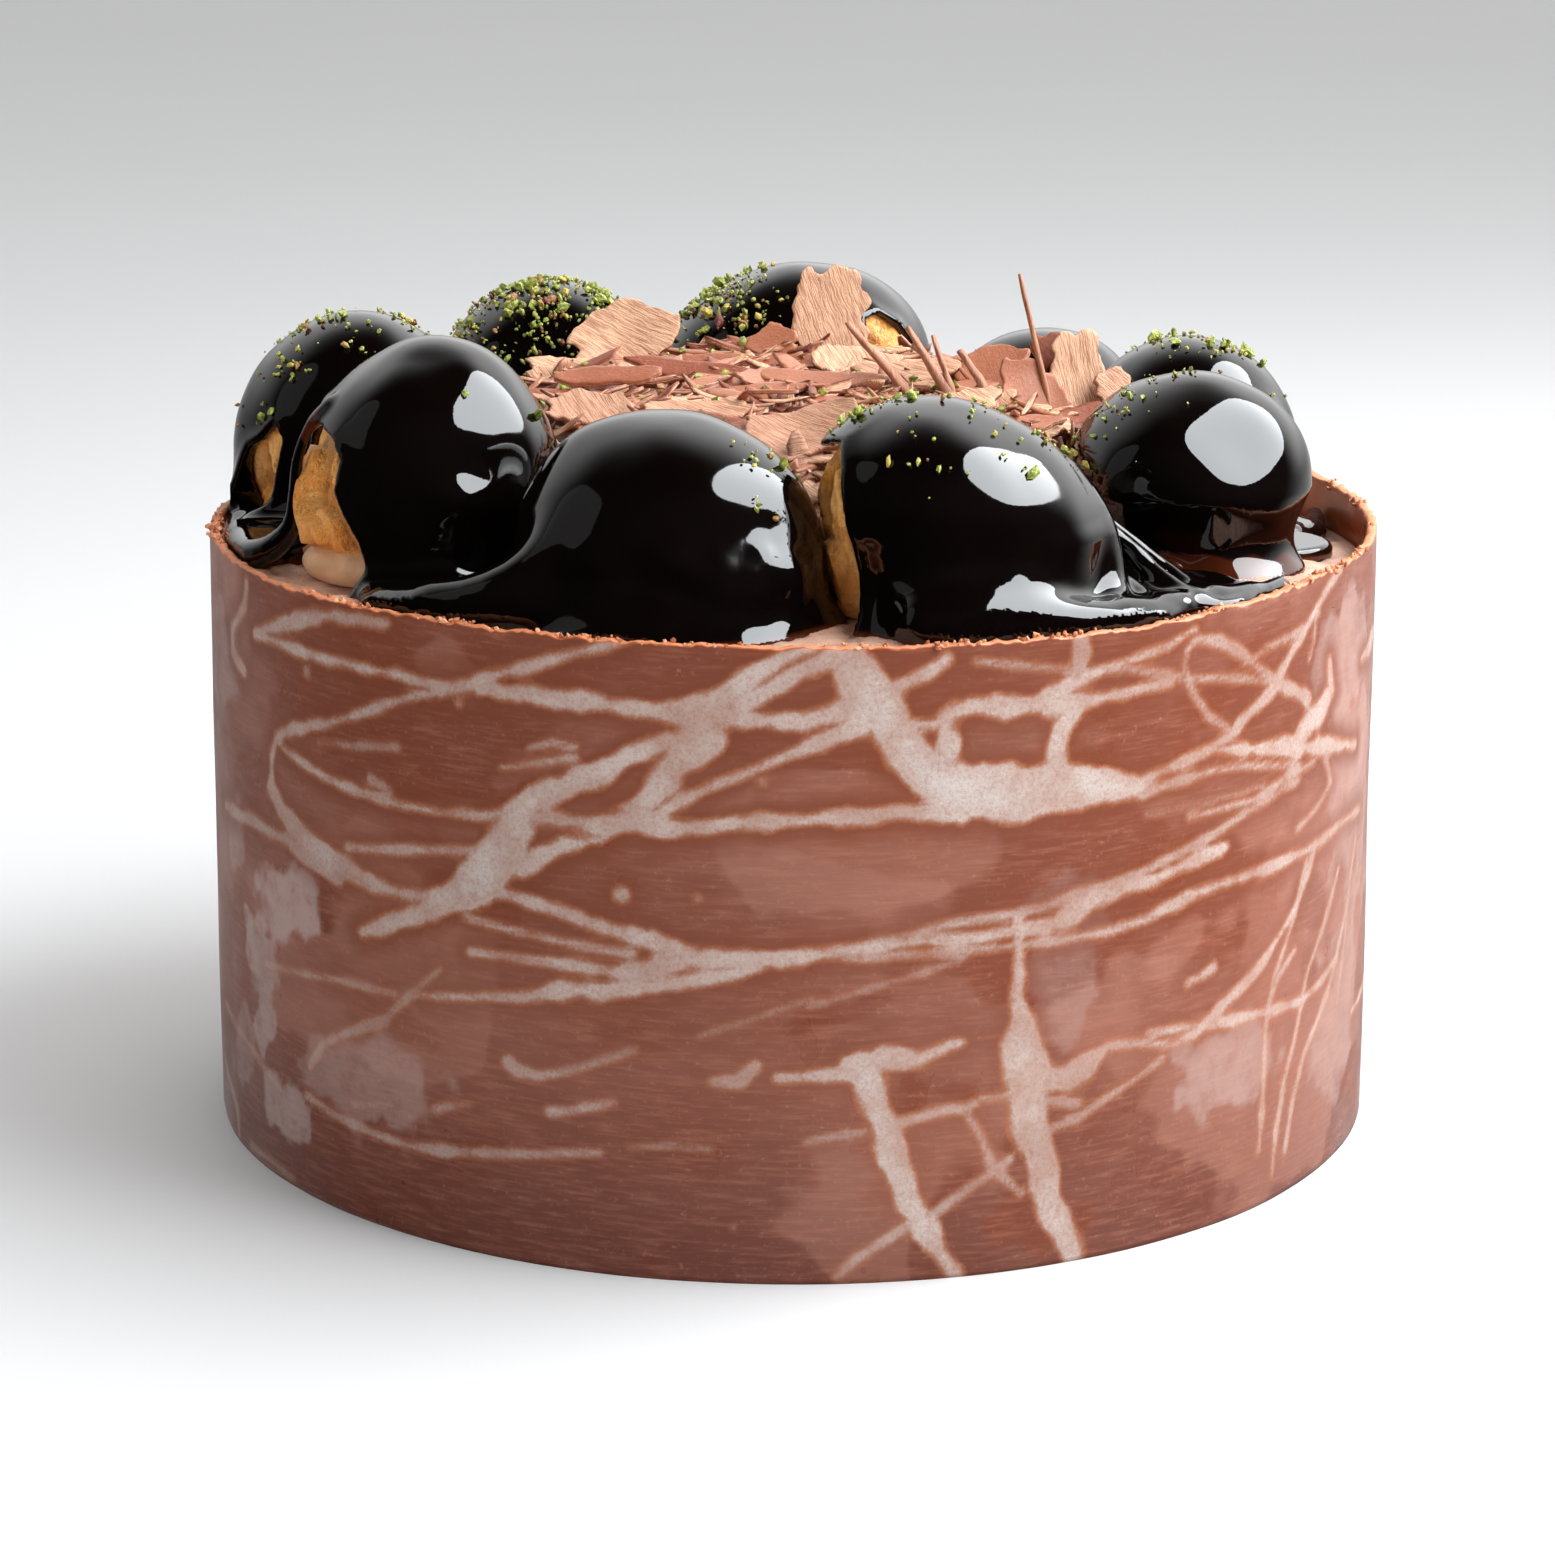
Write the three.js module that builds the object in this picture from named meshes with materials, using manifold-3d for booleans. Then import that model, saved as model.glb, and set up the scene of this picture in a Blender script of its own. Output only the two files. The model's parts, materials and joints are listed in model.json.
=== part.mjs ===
// A profiterole cake: a tall round mousse cake in a marbled chocolate collar, with a ring of nine
// glazed profiteroles on top, a bed of chocolate shavings inside the ring and chopped pistachio.
//
// Millimetres, +Z up. The origin is the middle of the underside, so the cake stands on Z = 0.
// The front of the cake faces -Y. Bearings are in degrees round the cake, 0 at the front,
// growing towards +X (90), the back (180) and -X (270).

import * as THREE from "three";
import Module from "manifold-3d";
import { mergeVertices } from "three/addons/utils/BufferGeometryUtils.js";

const wasm = await Module();
wasm.setup();

// ---- Driving dimensions ----------------------------------------------------------------------

const CLEAR = 0.3; // gap left between touching pieces
const OVERLAP = 2.4; // how far a cutter reaches past the piece that it trims

const COLLAR = {
  radius: 110, // outside, at the rim
  flare: 1.2, // how much wider it is at the foot
  wall: 1.9,
  rim: 111.8, // height of the rim
  ragged: 0.7, // how far the broken edge strays up and down
  lift: 1.4, // how much higher the rim stands at the back right
  liftBearing: 125,
};

const MOUSSE = {
  top: 110.4, // height of the cream at the front
  dip: 6, // how far it sinks by the wall at the back right
  dipBearing: 104,
  dipSpread: 52,
  dipFrom: 45, // distances from the axis between which it sinks
  dipTo: 100,
};

const GLAZE = { coat: 1.5, pool: 2.6 }; // thickness over the puffs, and where it pools
const BELOW = 6; // how far glaze and pastry are carried below the cream before they are cut by it
const BELLY = 0.4; // where up its height a puff is widest

// One row for each profiterole: where it sits, its outside size under the glaze, and how far its
// glaze spreads over the cream. "out" is its distance from the cake's axis. "nose" and "lean"
// shift the crown sideways and outwards, and "nuts" is how many large crumbs of pistachio lie on
// it, round "nutsAt" (bearing and steepness, both seen from the middle of the puff).
const PUFFS = [
  { at: -58.5, out: 77, wide: 49.5, deep: 46, crown: 150.8, spread: 6, nose: 3, lean: 0,
    nuts: 1, nutsAt: [80, 40] },
  { at: -16.5, out: 79.5, wide: 50.5, deep: 44, crown: 143.2, spread: 5, nose: -4, lean: -3,
    nuts: 6, nutsAt: [60, 42] },
  { at: 22.5, out: 79, wide: 49.5, deep: 45, crown: 145.6, spread: 4.5, nose: -6, lean: -3,
    nuts: 6, nutsAt: [150, 25] },
  { at: 68.5, out: 77, wide: 40, deep: 43, crown: 142.2, spread: 5.5, nose: 2, lean: 0,
    nuts: 5, nutsAt: [-20, 36] },
  { at: 101.5, out: 77, wide: 39, deep: 40, crown: 142.2, spread: 5, nose: 0, lean: 0,
    nuts: 6, nutsAt: [10, 14] },
  { at: 140, out: 79, wide: 36, deep: 38, crown: 136.3, spread: 4, nose: 0, lean: 0,
    nuts: 2, nutsAt: [0, 30] },
  { at: 180.5, out: 77, wide: 55, deep: 45, crown: 147.4, spread: 4.5, nose: -3, lean: 0,
    nuts: 12, nutsAt: [-50, 46] },
  { at: 218.5, out: 79, wide: 43, deep: 43, crown: 145.8, spread: 4.3, nose: 0, lean: 0,
    nuts: 13, nutsAt: [10, 40] },
  { at: 262, out: 85, wide: 45, deep: 42, crown: 147.8, spread: 5, nose: 3, lean: -2,
    nuts: 6, nutsAt: [80, 32] },
];

// Which profiteroles share one pour of glaze, as their pools run together.
const POURS = {
  glaze_left: [8, 0, 1],
  glaze_right: [2, 3, 4],
  glaze_back_right: [5],
  glaze_back: [6, 7],
};

// Puddles of glaze on the cream, beside the puffs: bearing, distance from the axis and the two
// half widths, round the cake and outwards.
const PUDDLES = {
  glaze_left: [
    { at: -79, out: 94, round: 17, outward: 13 },
    { at: -38, out: 84, round: 12, outward: 18 },
  ],
  glaze_right: [
    { at: 45, out: 83, round: 13, outward: 21 },
    { at: 85, out: 86, round: 12, outward: 16 },
  ],
  glaze_back_right: [],
  glaze_back: [{ at: 200, out: 76, round: 12, outward: 15 }],
};

// Where the glaze ran past and left the pastry bare: the puff, the bearing of the bare patch seen
// from the middle of that puff, its middle height, its width and its height.
const BARE = [
  { puff: 0, at: -46, mid: 125, wide: 17, tall: 36 },
  { puff: 2, at: -76, mid: 126, wide: 19, tall: 40 },
  { puff: 8, at: -36, mid: 123, wide: 12, tall: 26 },
  { puff: 6, at: 52, mid: 133, wide: 13, tall: 20 },
  { puff: 4, at: 60, mid: 121, wide: 13, tall: 24 },
  { puff: 7, at: 215, mid: 124, wide: 15, tall: 30 },
];

// The cream filling that was pressed out under the first profiterole.
const CREAM = { puff: 0, at: -38, out: 17, wide: 21, deep: 15, thick: 8 };

const BED = {
  radius: 58,
  middle: 132.3, // height of the bed of shavings, in the middle
  edge: 130.6, // and where it starts to fall away
  shoulder: 48,
  rise: 0.055, // how much it climbs towards the back, per millimetre
  flakes: 40,
  flakeLength: [13, 26],
  flakeWidth: [7, 12],
  flakeThick: 1.2,
  tilt: 24, // most that an ordinary flake is tipped, in degrees
};

// The shavings that stand out of the bed: middle, length, width, then how far each is rolled
// about its length towards the front, tipped up at its right end, and turned about the upright,
// in degrees.
const TALL_FLAKES = [
  { x: 8, y: 46, z: 142, long: 15, wide: 21, roll: 66, tip: -8, turn: 0 },
  { x: -33, y: 36, z: 138, long: 22, wide: 13, roll: 48, tip: 0, turn: 8 },
  { x: -4, y: 37, z: 137, long: 12, wide: 9, roll: 62, tip: 8, turn: 0 },
  { x: 12, y: 22, z: 135.5, long: 17, wide: 12, roll: 22, tip: -10, turn: 0 },
  { x: -7, y: 27, z: 135, long: 40, wide: 10, roll: 30, tip: 0, turn: -4 },
  { x: 2, y: -43, z: 133.5, long: 21, wide: 15, roll: 20, tip: 8, turn: 8 },
  { x: 42, y: 15, z: 136, long: 18, wide: 13, roll: 40, tip: 20, turn: 4 },
  { x: 45, y: -1, z: 132.5, long: 18, wide: 14, roll: 58, tip: -34, turn: 0 },
  { x: 52, y: 4, z: 134, long: 12, wide: 20, roll: 70, tip: -6, turn: 14 },
  { x: -34, y: 4, z: 135.5, long: 25, wide: 8, roll: 24, tip: 4, turn: 4 },
];

// Thin splinters, from the end in the bed to the free end.
const SPLINTERS = [
  { from: [51, -5, 122], to: [42.5, 4, 157.4], thick: 1.6 },
  { from: [25.5, 0, 131], to: [10.1, 8, 147.4], thick: 2.4 },
  { from: [32, -3, 131], to: [21.7, 8, 146.5], thick: 2.4 },
  { from: [31.5, 3, 131], to: [26.5, 10, 144.7], thick: 1.6 },
  { from: [41, -10, 129], to: [31.3, 0, 143.4], thick: 2.4 },
];

const NUT = { small: 1.0, large: 1.9 }; // radius of a crumb of pistachio

// How finely the round pieces are faceted.
const STEPS = { collar: 96, body: 40, puff: 16, bed: 20 };
const DOME_STEPS = [0, 22, 44, 67, 92]; // steepness of the rings over a puff, in degrees
const UNDER_STEPS = [118, 142, 180]; // and of those below its belly

// ---- Small helpers ---------------------------------------------------------------------------

const TURN = Math.PI * 2;
const GOLDEN_ANGLE = 137.508; // degrees from one flake to the next round a spiral
const UP = new THREE.Vector3(0, 0, 1);
const ALONG_Y = new THREE.Vector3(0, 1, 0);
const rad = (degrees) => (degrees * Math.PI) / 180;
const mix = (a, b, t) => a + (b - a) * t;
const smooth = (low, high, x) => THREE.MathUtils.smoothstep(x, low, high);

// A repeatable stream of numbers from 0 to 1.
function dice(seed) {
  let state = seed >>> 0;
  return () => {
    state = (state * 1664525 + 1013904223) >>> 0;
    return state / 4294967296;
  };
}

// A gentle wave round a circle, from -1 to 1, that differs with the seed.
function lumps(seed, waves = [1, 2, 3, 5]) {
  const roll = dice(seed);
  const parts = waves.map((n) => ({ n, phase: roll() * TURN, size: (0.5 + roll()) / n ** 0.6 }));
  const total = parts.reduce((sum, p) => sum + p.size, 0);
  return (angle) => parts.reduce((sum, p) => sum + p.size * Math.sin(p.n * angle + p.phase), 0) / total;
}

// The point at that bearing and distance from the cake's axis.
const onCake = (bearing, out) => [out * Math.sin(rad(bearing)), -out * Math.cos(rad(bearing))];

function solidFrom(geometry) {
  const bare = geometry.clone();
  bare.deleteAttribute("normal");
  bare.deleteAttribute("uv");
  const merged = mergeVertices(bare, 1e-4);
  return new wasm.Manifold(
    new wasm.Mesh({
      numProp: 3,
      vertProperties: merged.attributes.position.array,
      triVerts: new Uint32Array(merged.index.array),
    }),
  );
}

function geometryFrom(solid) {
  const { vertProperties, triVerts, numProp, numVert } = solid.getMesh();
  const points = new Float32Array(numVert * 3);
  for (let i = 0; i < numVert; i++) {
    const from = i * numProp;
    points.set(vertProperties.subarray(from, from + 3), i * 3);
  }
  const geometry = new THREE.BufferGeometry();
  geometry.setAttribute("position", new THREE.BufferAttribute(points, 3));
  geometry.setIndex(new THREE.BufferAttribute(triVerts, 1));
  geometry.computeVertexNormals();
  return geometry;
}

// The largest connected body without slivers, so that a scrap left by a cut is dropped.
function largest(solid, finest = 0.12) {
  return solid
    .simplify(finest)
    .decompose()
    .reduce((best, one) => (one.volume() > best.volume() ? one : best));
}

// A closed skin over rings of points. Each of "levels" gives a point for an angle; the first and
// last are single points at the poles.
function skin(levels, around) {
  const points = [];
  const faces = [];
  const last = levels.length - 1;
  const ringStart = (level) => 1 + (level - 1) * around;
  points.push(...levels[0](0));
  for (let level = 1; level < last; level++)
    for (let j = 0; j < around; j++) points.push(...levels[level]((j / around) * TURN));
  points.push(...levels[last](0));
  const bottom = points.length / 3 - 1;
  for (let j = 0; j < around; j++) {
    const next = (j + 1) % around;
    faces.push(0, ringStart(1) + j, ringStart(1) + next);
    faces.push(bottom, ringStart(last - 1) + next, ringStart(last - 1) + j);
    for (let level = 1; level < last - 1; level++) {
      const [a, b] = [ringStart(level) + j, ringStart(level) + next];
      const [c, d] = [ringStart(level + 1) + j, ringStart(level + 1) + next];
      faces.push(a, c, d, a, d, b);
    }
  }
  const geometry = new THREE.BufferGeometry();
  geometry.setAttribute("position", new THREE.Float32BufferAttribute(points, 3));
  geometry.setIndex(faces);
  return solidFrom(geometry);
}

// A closed ring: "profile" gives the section's points, anticlockwise as (radius, height), for an
// angle.
function ringSolid(profile, around) {
  const points = [];
  const faces = [];
  const n = profile(0).length;
  for (let j = 0; j < around; j++) {
    const angle = (j / around) * TURN;
    for (const [r, z] of profile(angle)) points.push(r * Math.cos(angle), r * Math.sin(angle), z);
  }
  for (let j = 0; j < around; j++) {
    const k = (j + 1) % around;
    for (let i = 0; i < n; i++) {
      const h = (i + 1) % n;
      const [a, b, c, d] = [j * n + i, k * n + i, k * n + h, j * n + h];
      faces.push(a, b, c, a, c, d);
    }
  }
  const geometry = new THREE.BufferGeometry();
  geometry.setAttribute("position", new THREE.Float32BufferAttribute(points, 3));
  geometry.setIndex(faces);
  return solidFrom(geometry);
}

// An egg-shaped blob: a puddle, the filling, or the cut round a bare patch.
function blob([x, y, z], [rx, ry, rz], turn) {
  const geometry = new THREE.SphereGeometry(1, 12, 8);
  geometry.scale(rx, ry, rz);
  geometry.rotateZ(rad(turn));
  geometry.translate(x, y, z);
  return solidFrom(geometry);
}

// ---- The cake and its collar -----------------------------------------------------------------

// Height of the cream at a point of the cake.
function creamTop(x, y) {
  const out = Math.hypot(x, y);
  const bearing = THREE.MathUtils.radToDeg(Math.atan2(x, -y));
  const off = Math.abs(THREE.MathUtils.euclideanModulo(bearing - MOUSSE.dipBearing + 180, 360) - 180);
  const sector = off < MOUSSE.dipSpread ? (1 + Math.cos((Math.PI * off) / MOUSSE.dipSpread)) / 2 : 0;
  return MOUSSE.top - MOUSSE.dip * sector * smooth(MOUSSE.dipFrom, MOUSSE.dipTo, out);
}

// The body, or with "grow" the cutter that trims what stands on it.
function cakeBody(grow = 0) {
  const spill = grow ? OVERLAP : 0;
  const radius = COLLAR.radius - COLLAR.wall - CLEAR + spill;
  const foot = -spill;
  const topRing = (share) => (angle) => {
    const [x, y] = [radius * share * Math.cos(angle), radius * share * Math.sin(angle)];
    return [x, y, creamTop(x, y) + grow];
  };
  return skin(
    [
      () => [0, 0, creamTop(0, 0) + grow],
      topRing(0.45),
      topRing(0.7),
      topRing(0.87),
      topRing(1),
      (angle) => [radius * Math.cos(angle), radius * Math.sin(angle), foot],
      () => [0, 0, foot],
    ],
    STEPS.body,
  );
}

function collar() {
  const roll = dice(7);
  const wave = lumps(11, [2, 3, 5, 8]);
  const chips = Array.from({ length: STEPS.collar }, () => (roll() - 0.5) * COLLAR.ragged);
  return ringSolid((angle) => {
    const chip = chips[Math.round((angle / TURN) * STEPS.collar) % STEPS.collar];
    const bearing = THREE.MathUtils.radToDeg(angle) + 90;
    const liftedBack = COLLAR.lift * Math.max(0, Math.cos(rad(bearing - COLLAR.liftBearing)));
    const rim = COLLAR.rim + liftedBack + COLLAR.ragged * wave(angle) + chip;
    const inside = COLLAR.radius - COLLAR.wall;
    return [
      [inside, 0],
      [COLLAR.radius + COLLAR.flare, 0],
      [COLLAR.radius, rim - 0.4],
      [inside, rim],
    ];
  }, STEPS.collar);
}

// ---- Profiteroles and their glaze ------------------------------------------------------------

// The frame of a puff: its middle, and the unit vectors outwards and round the cake.
function seat(puff) {
  const [x, y] = onCake(puff.at, puff.out);
  const bearing = rad(puff.at);
  return {
    x,
    y,
    floor: creamTop(x, y),
    outward: [Math.sin(bearing), -Math.cos(bearing)],
    along: [Math.cos(bearing), Math.sin(bearing)],
  };
}

// A slumped ball, widest at 40% of its height, whose underside runs below the cream's surface.
function puffLevel(puff, index, steepness, grow) {
  const { x, y, floor, outward, along } = seat(puff);
  const wave = lumps(31 + index);
  const tall = puff.crown - floor;
  const belly = floor + BELLY * tall;
  const rise = (1 - BELLY) * tall + grow;
  const drop = 2 * BELLY * tall;
  const height = Math.cos(steepness) * (steepness < Math.PI / 2 ? rise : drop);
  const lift = Math.max(0, Math.cos(steepness));
  return (angle) => {
    const size = Math.sin(steepness) * (1 + 0.045 * wave(angle));
    const u = (puff.deep / 2 + grow) * size * Math.cos(angle) + puff.lean * lift;
    const v = (puff.wide / 2 + grow) * size * Math.sin(angle) + puff.nose * lift;
    return [x + u * outward[0] + v * along[0], y + u * outward[1] + v * along[1], belly + height];
  };
}

function puffSolid(puff, index, grow = 0) {
  const steps = [...DOME_STEPS, ...UNDER_STEPS];
  const levels = steps.map((degrees) => puffLevel(puff, index, rad(degrees), grow));
  return skin(levels, STEPS.puff);
}

// The glaze over one puff: the coat, then a foot that spreads over the cream in lobes.
function glazeSolid(puff, index, grow = 0) {
  const { x, y, floor, outward, along } = seat(puff);
  const lobes = lumps(71 + index, [2, 3, 4, 7]);
  const tall = puff.crown - floor;
  const coat = GLAZE.coat + grow;
  const dome = DOME_STEPS.map((degrees) => puffLevel(puff, index, rad(degrees), coat));
  const foot = (share, height) => (angle) => {
    const spread = puff.spread * (1 + 0.6 * lobes(angle)) * share + coat;
    const u = (puff.deep / 2 + spread) * Math.cos(angle);
    const v = (puff.wide / 2 + spread) * Math.sin(angle);
    return [x + u * outward[0] + v * along[0], y + u * outward[1] + v * along[1], height];
  };
  return skin(
    [
      ...dome,
      foot(0.05, floor + tall * 0.2 + grow),
      foot(0.4, floor + GLAZE.pool * 1.2 + grow),
      foot(1, floor + GLAZE.pool * 0.55 + grow),
      foot(0.9, floor - BELOW),
      () => [x, y, floor - BELOW],
    ],
    STEPS.puff,
  );
}

function puddleSolid({ at, out, round, outward }, grow = 0) {
  const [x, y] = onCake(at, out);
  const half = [round + grow, outward + grow, GLAZE.pool + grow];
  return blob([x, y, creamTop(x, y)], half, at);
}

// The space that is cut from a puff's glaze over a bare patch of its pastry.
function barePatch({ puff: index, at, mid, wide, tall }) {
  const puff = PUFFS[index];
  const { x, y } = seat(puff);
  const reach = (puff.wide + puff.deep) / 4 + 3;
  const [dx, dy] = onCake(at, reach);
  return blob([x + dx, y + dy, mid], [wide / 2, 12, tall / 2], at);
}

// An irregular crumb of nut.
function crumb([x, y, z], radius, roll) {
  const rough = new THREE.OctahedronGeometry(radius);
  rough.deleteAttribute("uv");
  rough.deleteAttribute("normal");
  const geometry = mergeVertices(rough);
  const position = geometry.attributes.position;
  for (let i = 0; i < position.count; i++) {
    const stretch = 0.75 + 0.5 * roll();
    position.setXYZ(i, position.getX(i) * stretch, position.getY(i) * stretch, position.getZ(i) * stretch);
  }
  geometry.rotateX(roll() * TURN);
  geometry.rotateZ(roll() * TURN);
  geometry.translate(x, y, z);
  return solidFrom(geometry);
}

// The pistachio on one puff's glaze, half sunk into it.
function nutsOn(puff, index) {
  const roll = dice(131 + index);
  const [bearing, steep] = puff.nutsAt;
  return Array.from({ length: puff.nuts }, () => {
    const steepness = rad(steep) * Math.sqrt(0.15 + 1.1 * roll());
    const angle = rad(bearing - puff.at) + (roll() - 0.5) * 2.4;
    const point = puffLevel(puff, index, steepness, GLAZE.coat + 0.2)(angle);
    return crumb(point, mix(NUT.small, NUT.large, roll() ** 2), roll);
  });
}

// ---- The bed of shavings ---------------------------------------------------------------------

// Height of the bed: nearly level, a little higher at the back, then down to the cream.
function bedTop(x, y) {
  const out = Math.hypot(x, y);
  const level = mix(BED.middle, BED.edge, smooth(0, BED.shoulder, out)) + BED.rise * y;
  return mix(level, MOUSSE.top, smooth(BED.shoulder, BED.radius, out));
}

// Which way is up from the bed's surface there.
function bedNormal(x, y) {
  const dx = bedTop(x + 1, y) - bedTop(x - 1, y);
  const dy = bedTop(x, y + 1) - bedTop(x, y - 1);
  return new THREE.Vector3(-dx, -dy, 2).normalize();
}

function bedCore() {
  const wave = lumps(5, [2, 3, 5]);
  const ring = (share) => (angle) => {
    const r = BED.radius * share * (1 + 0.05 * wave(angle));
    const [x, y] = [r * Math.cos(angle), r * Math.sin(angle)];
    return [x, y, bedTop(x, y)];
  };
  const foot = MOUSSE.top - BELOW;
  return skin(
    [
      () => [0, 0, BED.middle],
      ring(0.4),
      ring(0.74),
      ring(0.87),
      ring(1),
      (angle) => [BED.radius * Math.cos(angle), BED.radius * Math.sin(angle), foot],
      () => [0, 0, foot],
    ],
    STEPS.bed,
  );
}

// A shaving: a thin strip of chocolate, bent along its length, with broken corners.
function flake({ x, y, z, long, wide, turn, tip, roll: side, lie }, seed) {
  const roll = dice(seed);
  const strip = new THREE.BoxGeometry(long, wide, BED.flakeThick, 2, 1, 1);
  strip.deleteAttribute("normal");
  strip.deleteAttribute("uv");
  const geometry = mergeVertices(strip, 1e-4);
  const bend = mix(0.004, 0.016, roll());
  const corners = {};
  const position = geometry.attributes.position;
  for (let i = 0; i < position.count; i++) {
    const [u, v, w] = [position.getX(i), position.getY(i), position.getZ(i)];
    const key = `${Math.round(u)},${Math.sign(v)}`;
    corners[key] ??= [1 - 0.35 * roll(), 1 - 0.45 * roll()];
    const [su, sv] = corners[key];
    position.setXYZ(i, u * su, v * sv, w + bend * u * u * su);
  }
  geometry.rotateX(rad(side));
  geometry.rotateY(-rad(tip));
  geometry.rotateZ(rad(turn));
  if (lie) geometry.applyQuaternion(new THREE.Quaternion().setFromUnitVectors(UP, lie));
  geometry.translate(x, y, z);
  return solidFrom(geometry);
}

// Flakes laid in a spiral, so that they cover the bed evenly.
function bedFlakes() {
  const roll = dice(19);
  return Array.from({ length: BED.flakes }, (_, i) => {
    const out = (BED.radius - 4) * Math.sqrt((i + 0.5) / BED.flakes);
    const [x, y] = onCake(i * GOLDEN_ANGLE, out);
    const place = {
      x,
      y,
      z: bedTop(x, y) + 0.6 + 1.5 * roll(),
      long: mix(...BED.flakeLength, roll()),
      wide: mix(...BED.flakeWidth, roll()),
      turn: 360 * roll(),
      tip: BED.tilt * (roll() - 0.5) * 2,
      roll: BED.tilt * (roll() - 0.5) * 2,
      lie: bedNormal(x, y),
    };
    return flake(place, 1000 + i);
  });
}

function splinter({ from, to, thick }) {
  const start = new THREE.Vector3(...from);
  const end = new THREE.Vector3(...to);
  const reach = end.clone().sub(start);
  const geometry = new THREE.CylinderGeometry(thick * 0.25, thick * 0.5, reach.length(), 5, 1);
  geometry.translate(0, reach.length() / 2, 0);
  geometry.applyQuaternion(new THREE.Quaternion().setFromUnitVectors(ALONG_Y, reach.normalize()));
  geometry.translate(start.x, start.y, start.z);
  return solidFrom(geometry);
}

// ---- Assembly --------------------------------------------------------------------------------

const MATERIALS = {
  mousse: { color: 0xc98f74, roughness: 0.8 },
  collar: { color: 0x8a4a34, roughness: 0.4 },
  pastry: { color: 0xc07f3a, roughness: 0.75 },
  glaze: { color: 0x120806, roughness: 0.06 },
  cream: { color: 0xcaa27c, roughness: 0.5 },
  shavings: { color: 0x9a5a40, roughness: 0.65 },
};

const cake = new THREE.Group();

function addPiece(name, solid, material) {
  const finish = new THREE.MeshStandardMaterial({ metalness: 0, ...MATERIALS[material] });
  const mesh = new THREE.Mesh(geometryFrom(solid), finish);
  mesh.name = name;
  cake.add(mesh);
}

const creamCut = cakeBody(CLEAR);
// Everything from the collar's inner face outwards, to keep glaze and pastry off it.
const insideCollar = ringSolid(() => {
  const inside = COLLAR.radius - COLLAR.wall - CLEAR;
  const outside = 2 * COLLAR.radius;
  const [low, high] = [COLLAR.rim / 2, COLLAR.rim * 2];
  return [
    [inside, low],
    [outside, low],
    [outside, high],
    [inside, high],
  ];
}, STEPS.collar);

addPiece("cake_body", cakeBody(), "mousse");
addPiece("chocolate_collar", collar(), "collar");

const cutAway = (solid, cutters) => cutters.reduce((left, cutter) => left.subtract(cutter), solid);

// The filling, a squeezed disc that shows below the pastry's edge.
function filling(grow = 0) {
  const { x, y, floor } = seat(PUFFS[CREAM.puff]);
  const [dx, dy] = onCake(CREAM.at, CREAM.out);
  const half = [CREAM.wide, CREAM.deep, CREAM.thick].map((size) => size / 2 + grow);
  return blob([x + dx, y + dy, floor + CREAM.thick * 0.3], half, CREAM.at);
}
const fillingCut = filling(CLEAR);
addPiece("cream_filling", largest(filling().subtract(creamCut)), "cream");

PUFFS.forEach((puff, index) => {
  let pastry = cutAway(puffSolid(puff, index), [creamCut, insideCollar]);
  if (index === CREAM.puff) pastry = pastry.subtract(fillingCut);
  addPiece(`profiterole_${index + 1}`, largest(pastry), "pastry");
});

const pastryCuts = PUFFS.map((puff, index) => puffSolid(puff, index, CLEAR));

function coatSolid(index, grow) {
  const patches = BARE.filter((patch) => patch.puff === index);
  return cutAway(glazeSolid(PUFFS[index], index, grow), grow ? [] : patches.map(barePatch));
}

const poursSoFar = [];
for (const [name, members] of Object.entries(POURS)) {
  const coatsAndPuddles = (grow) => [
    ...members.map((i) => coatSolid(i, grow)),
    ...PUDDLES[name].map((puddle) => puddleSolid(puddle, grow)),
  ];
  const pour = coatsAndPuddles(0).reduce((sum, one) => sum.add(one));
  const shell = cutAway(pour, [...pastryCuts, fillingCut, creamCut, insideCollar, ...poursSoFar]);
  const nuts = members.flatMap((i) => nutsOn(PUFFS[i], i));
  const nutted = nuts.reduce((sum, nut) => sum.add(nut), largest(shell));
  addPiece(name, largest(cutAway(nutted, [...pastryCuts, ...poursSoFar])), "glaze");
  poursSoFar.push(...coatsAndPuddles(CLEAR));
}

const flakes = [
  ...bedFlakes(),
  ...TALL_FLAKES.map((place, i) => flake(place, 500 + i)),
  ...SPLINTERS.map(splinter),
];
const heap = flakes.reduce((sum, one) => sum.add(one), bedCore());
addPiece("chocolate_shavings", largest(cutAway(heap, [creamCut, ...poursSoFar, ...pastryCuts])), "shavings");

export default cake;
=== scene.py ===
"""The looks of a profiterole cake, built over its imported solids.

Shapes are worked out in millimetres, +Z up, and turned into metres when a mesh is made. The front
of the cake faces -Y. Bearings are in degrees round the cake, 0 at the front, growing towards +X.
"""

import itertools
import json
import math

import bmesh
import bpy
import numpy as np
import openvdb
from mathutils import Matrix

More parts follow.
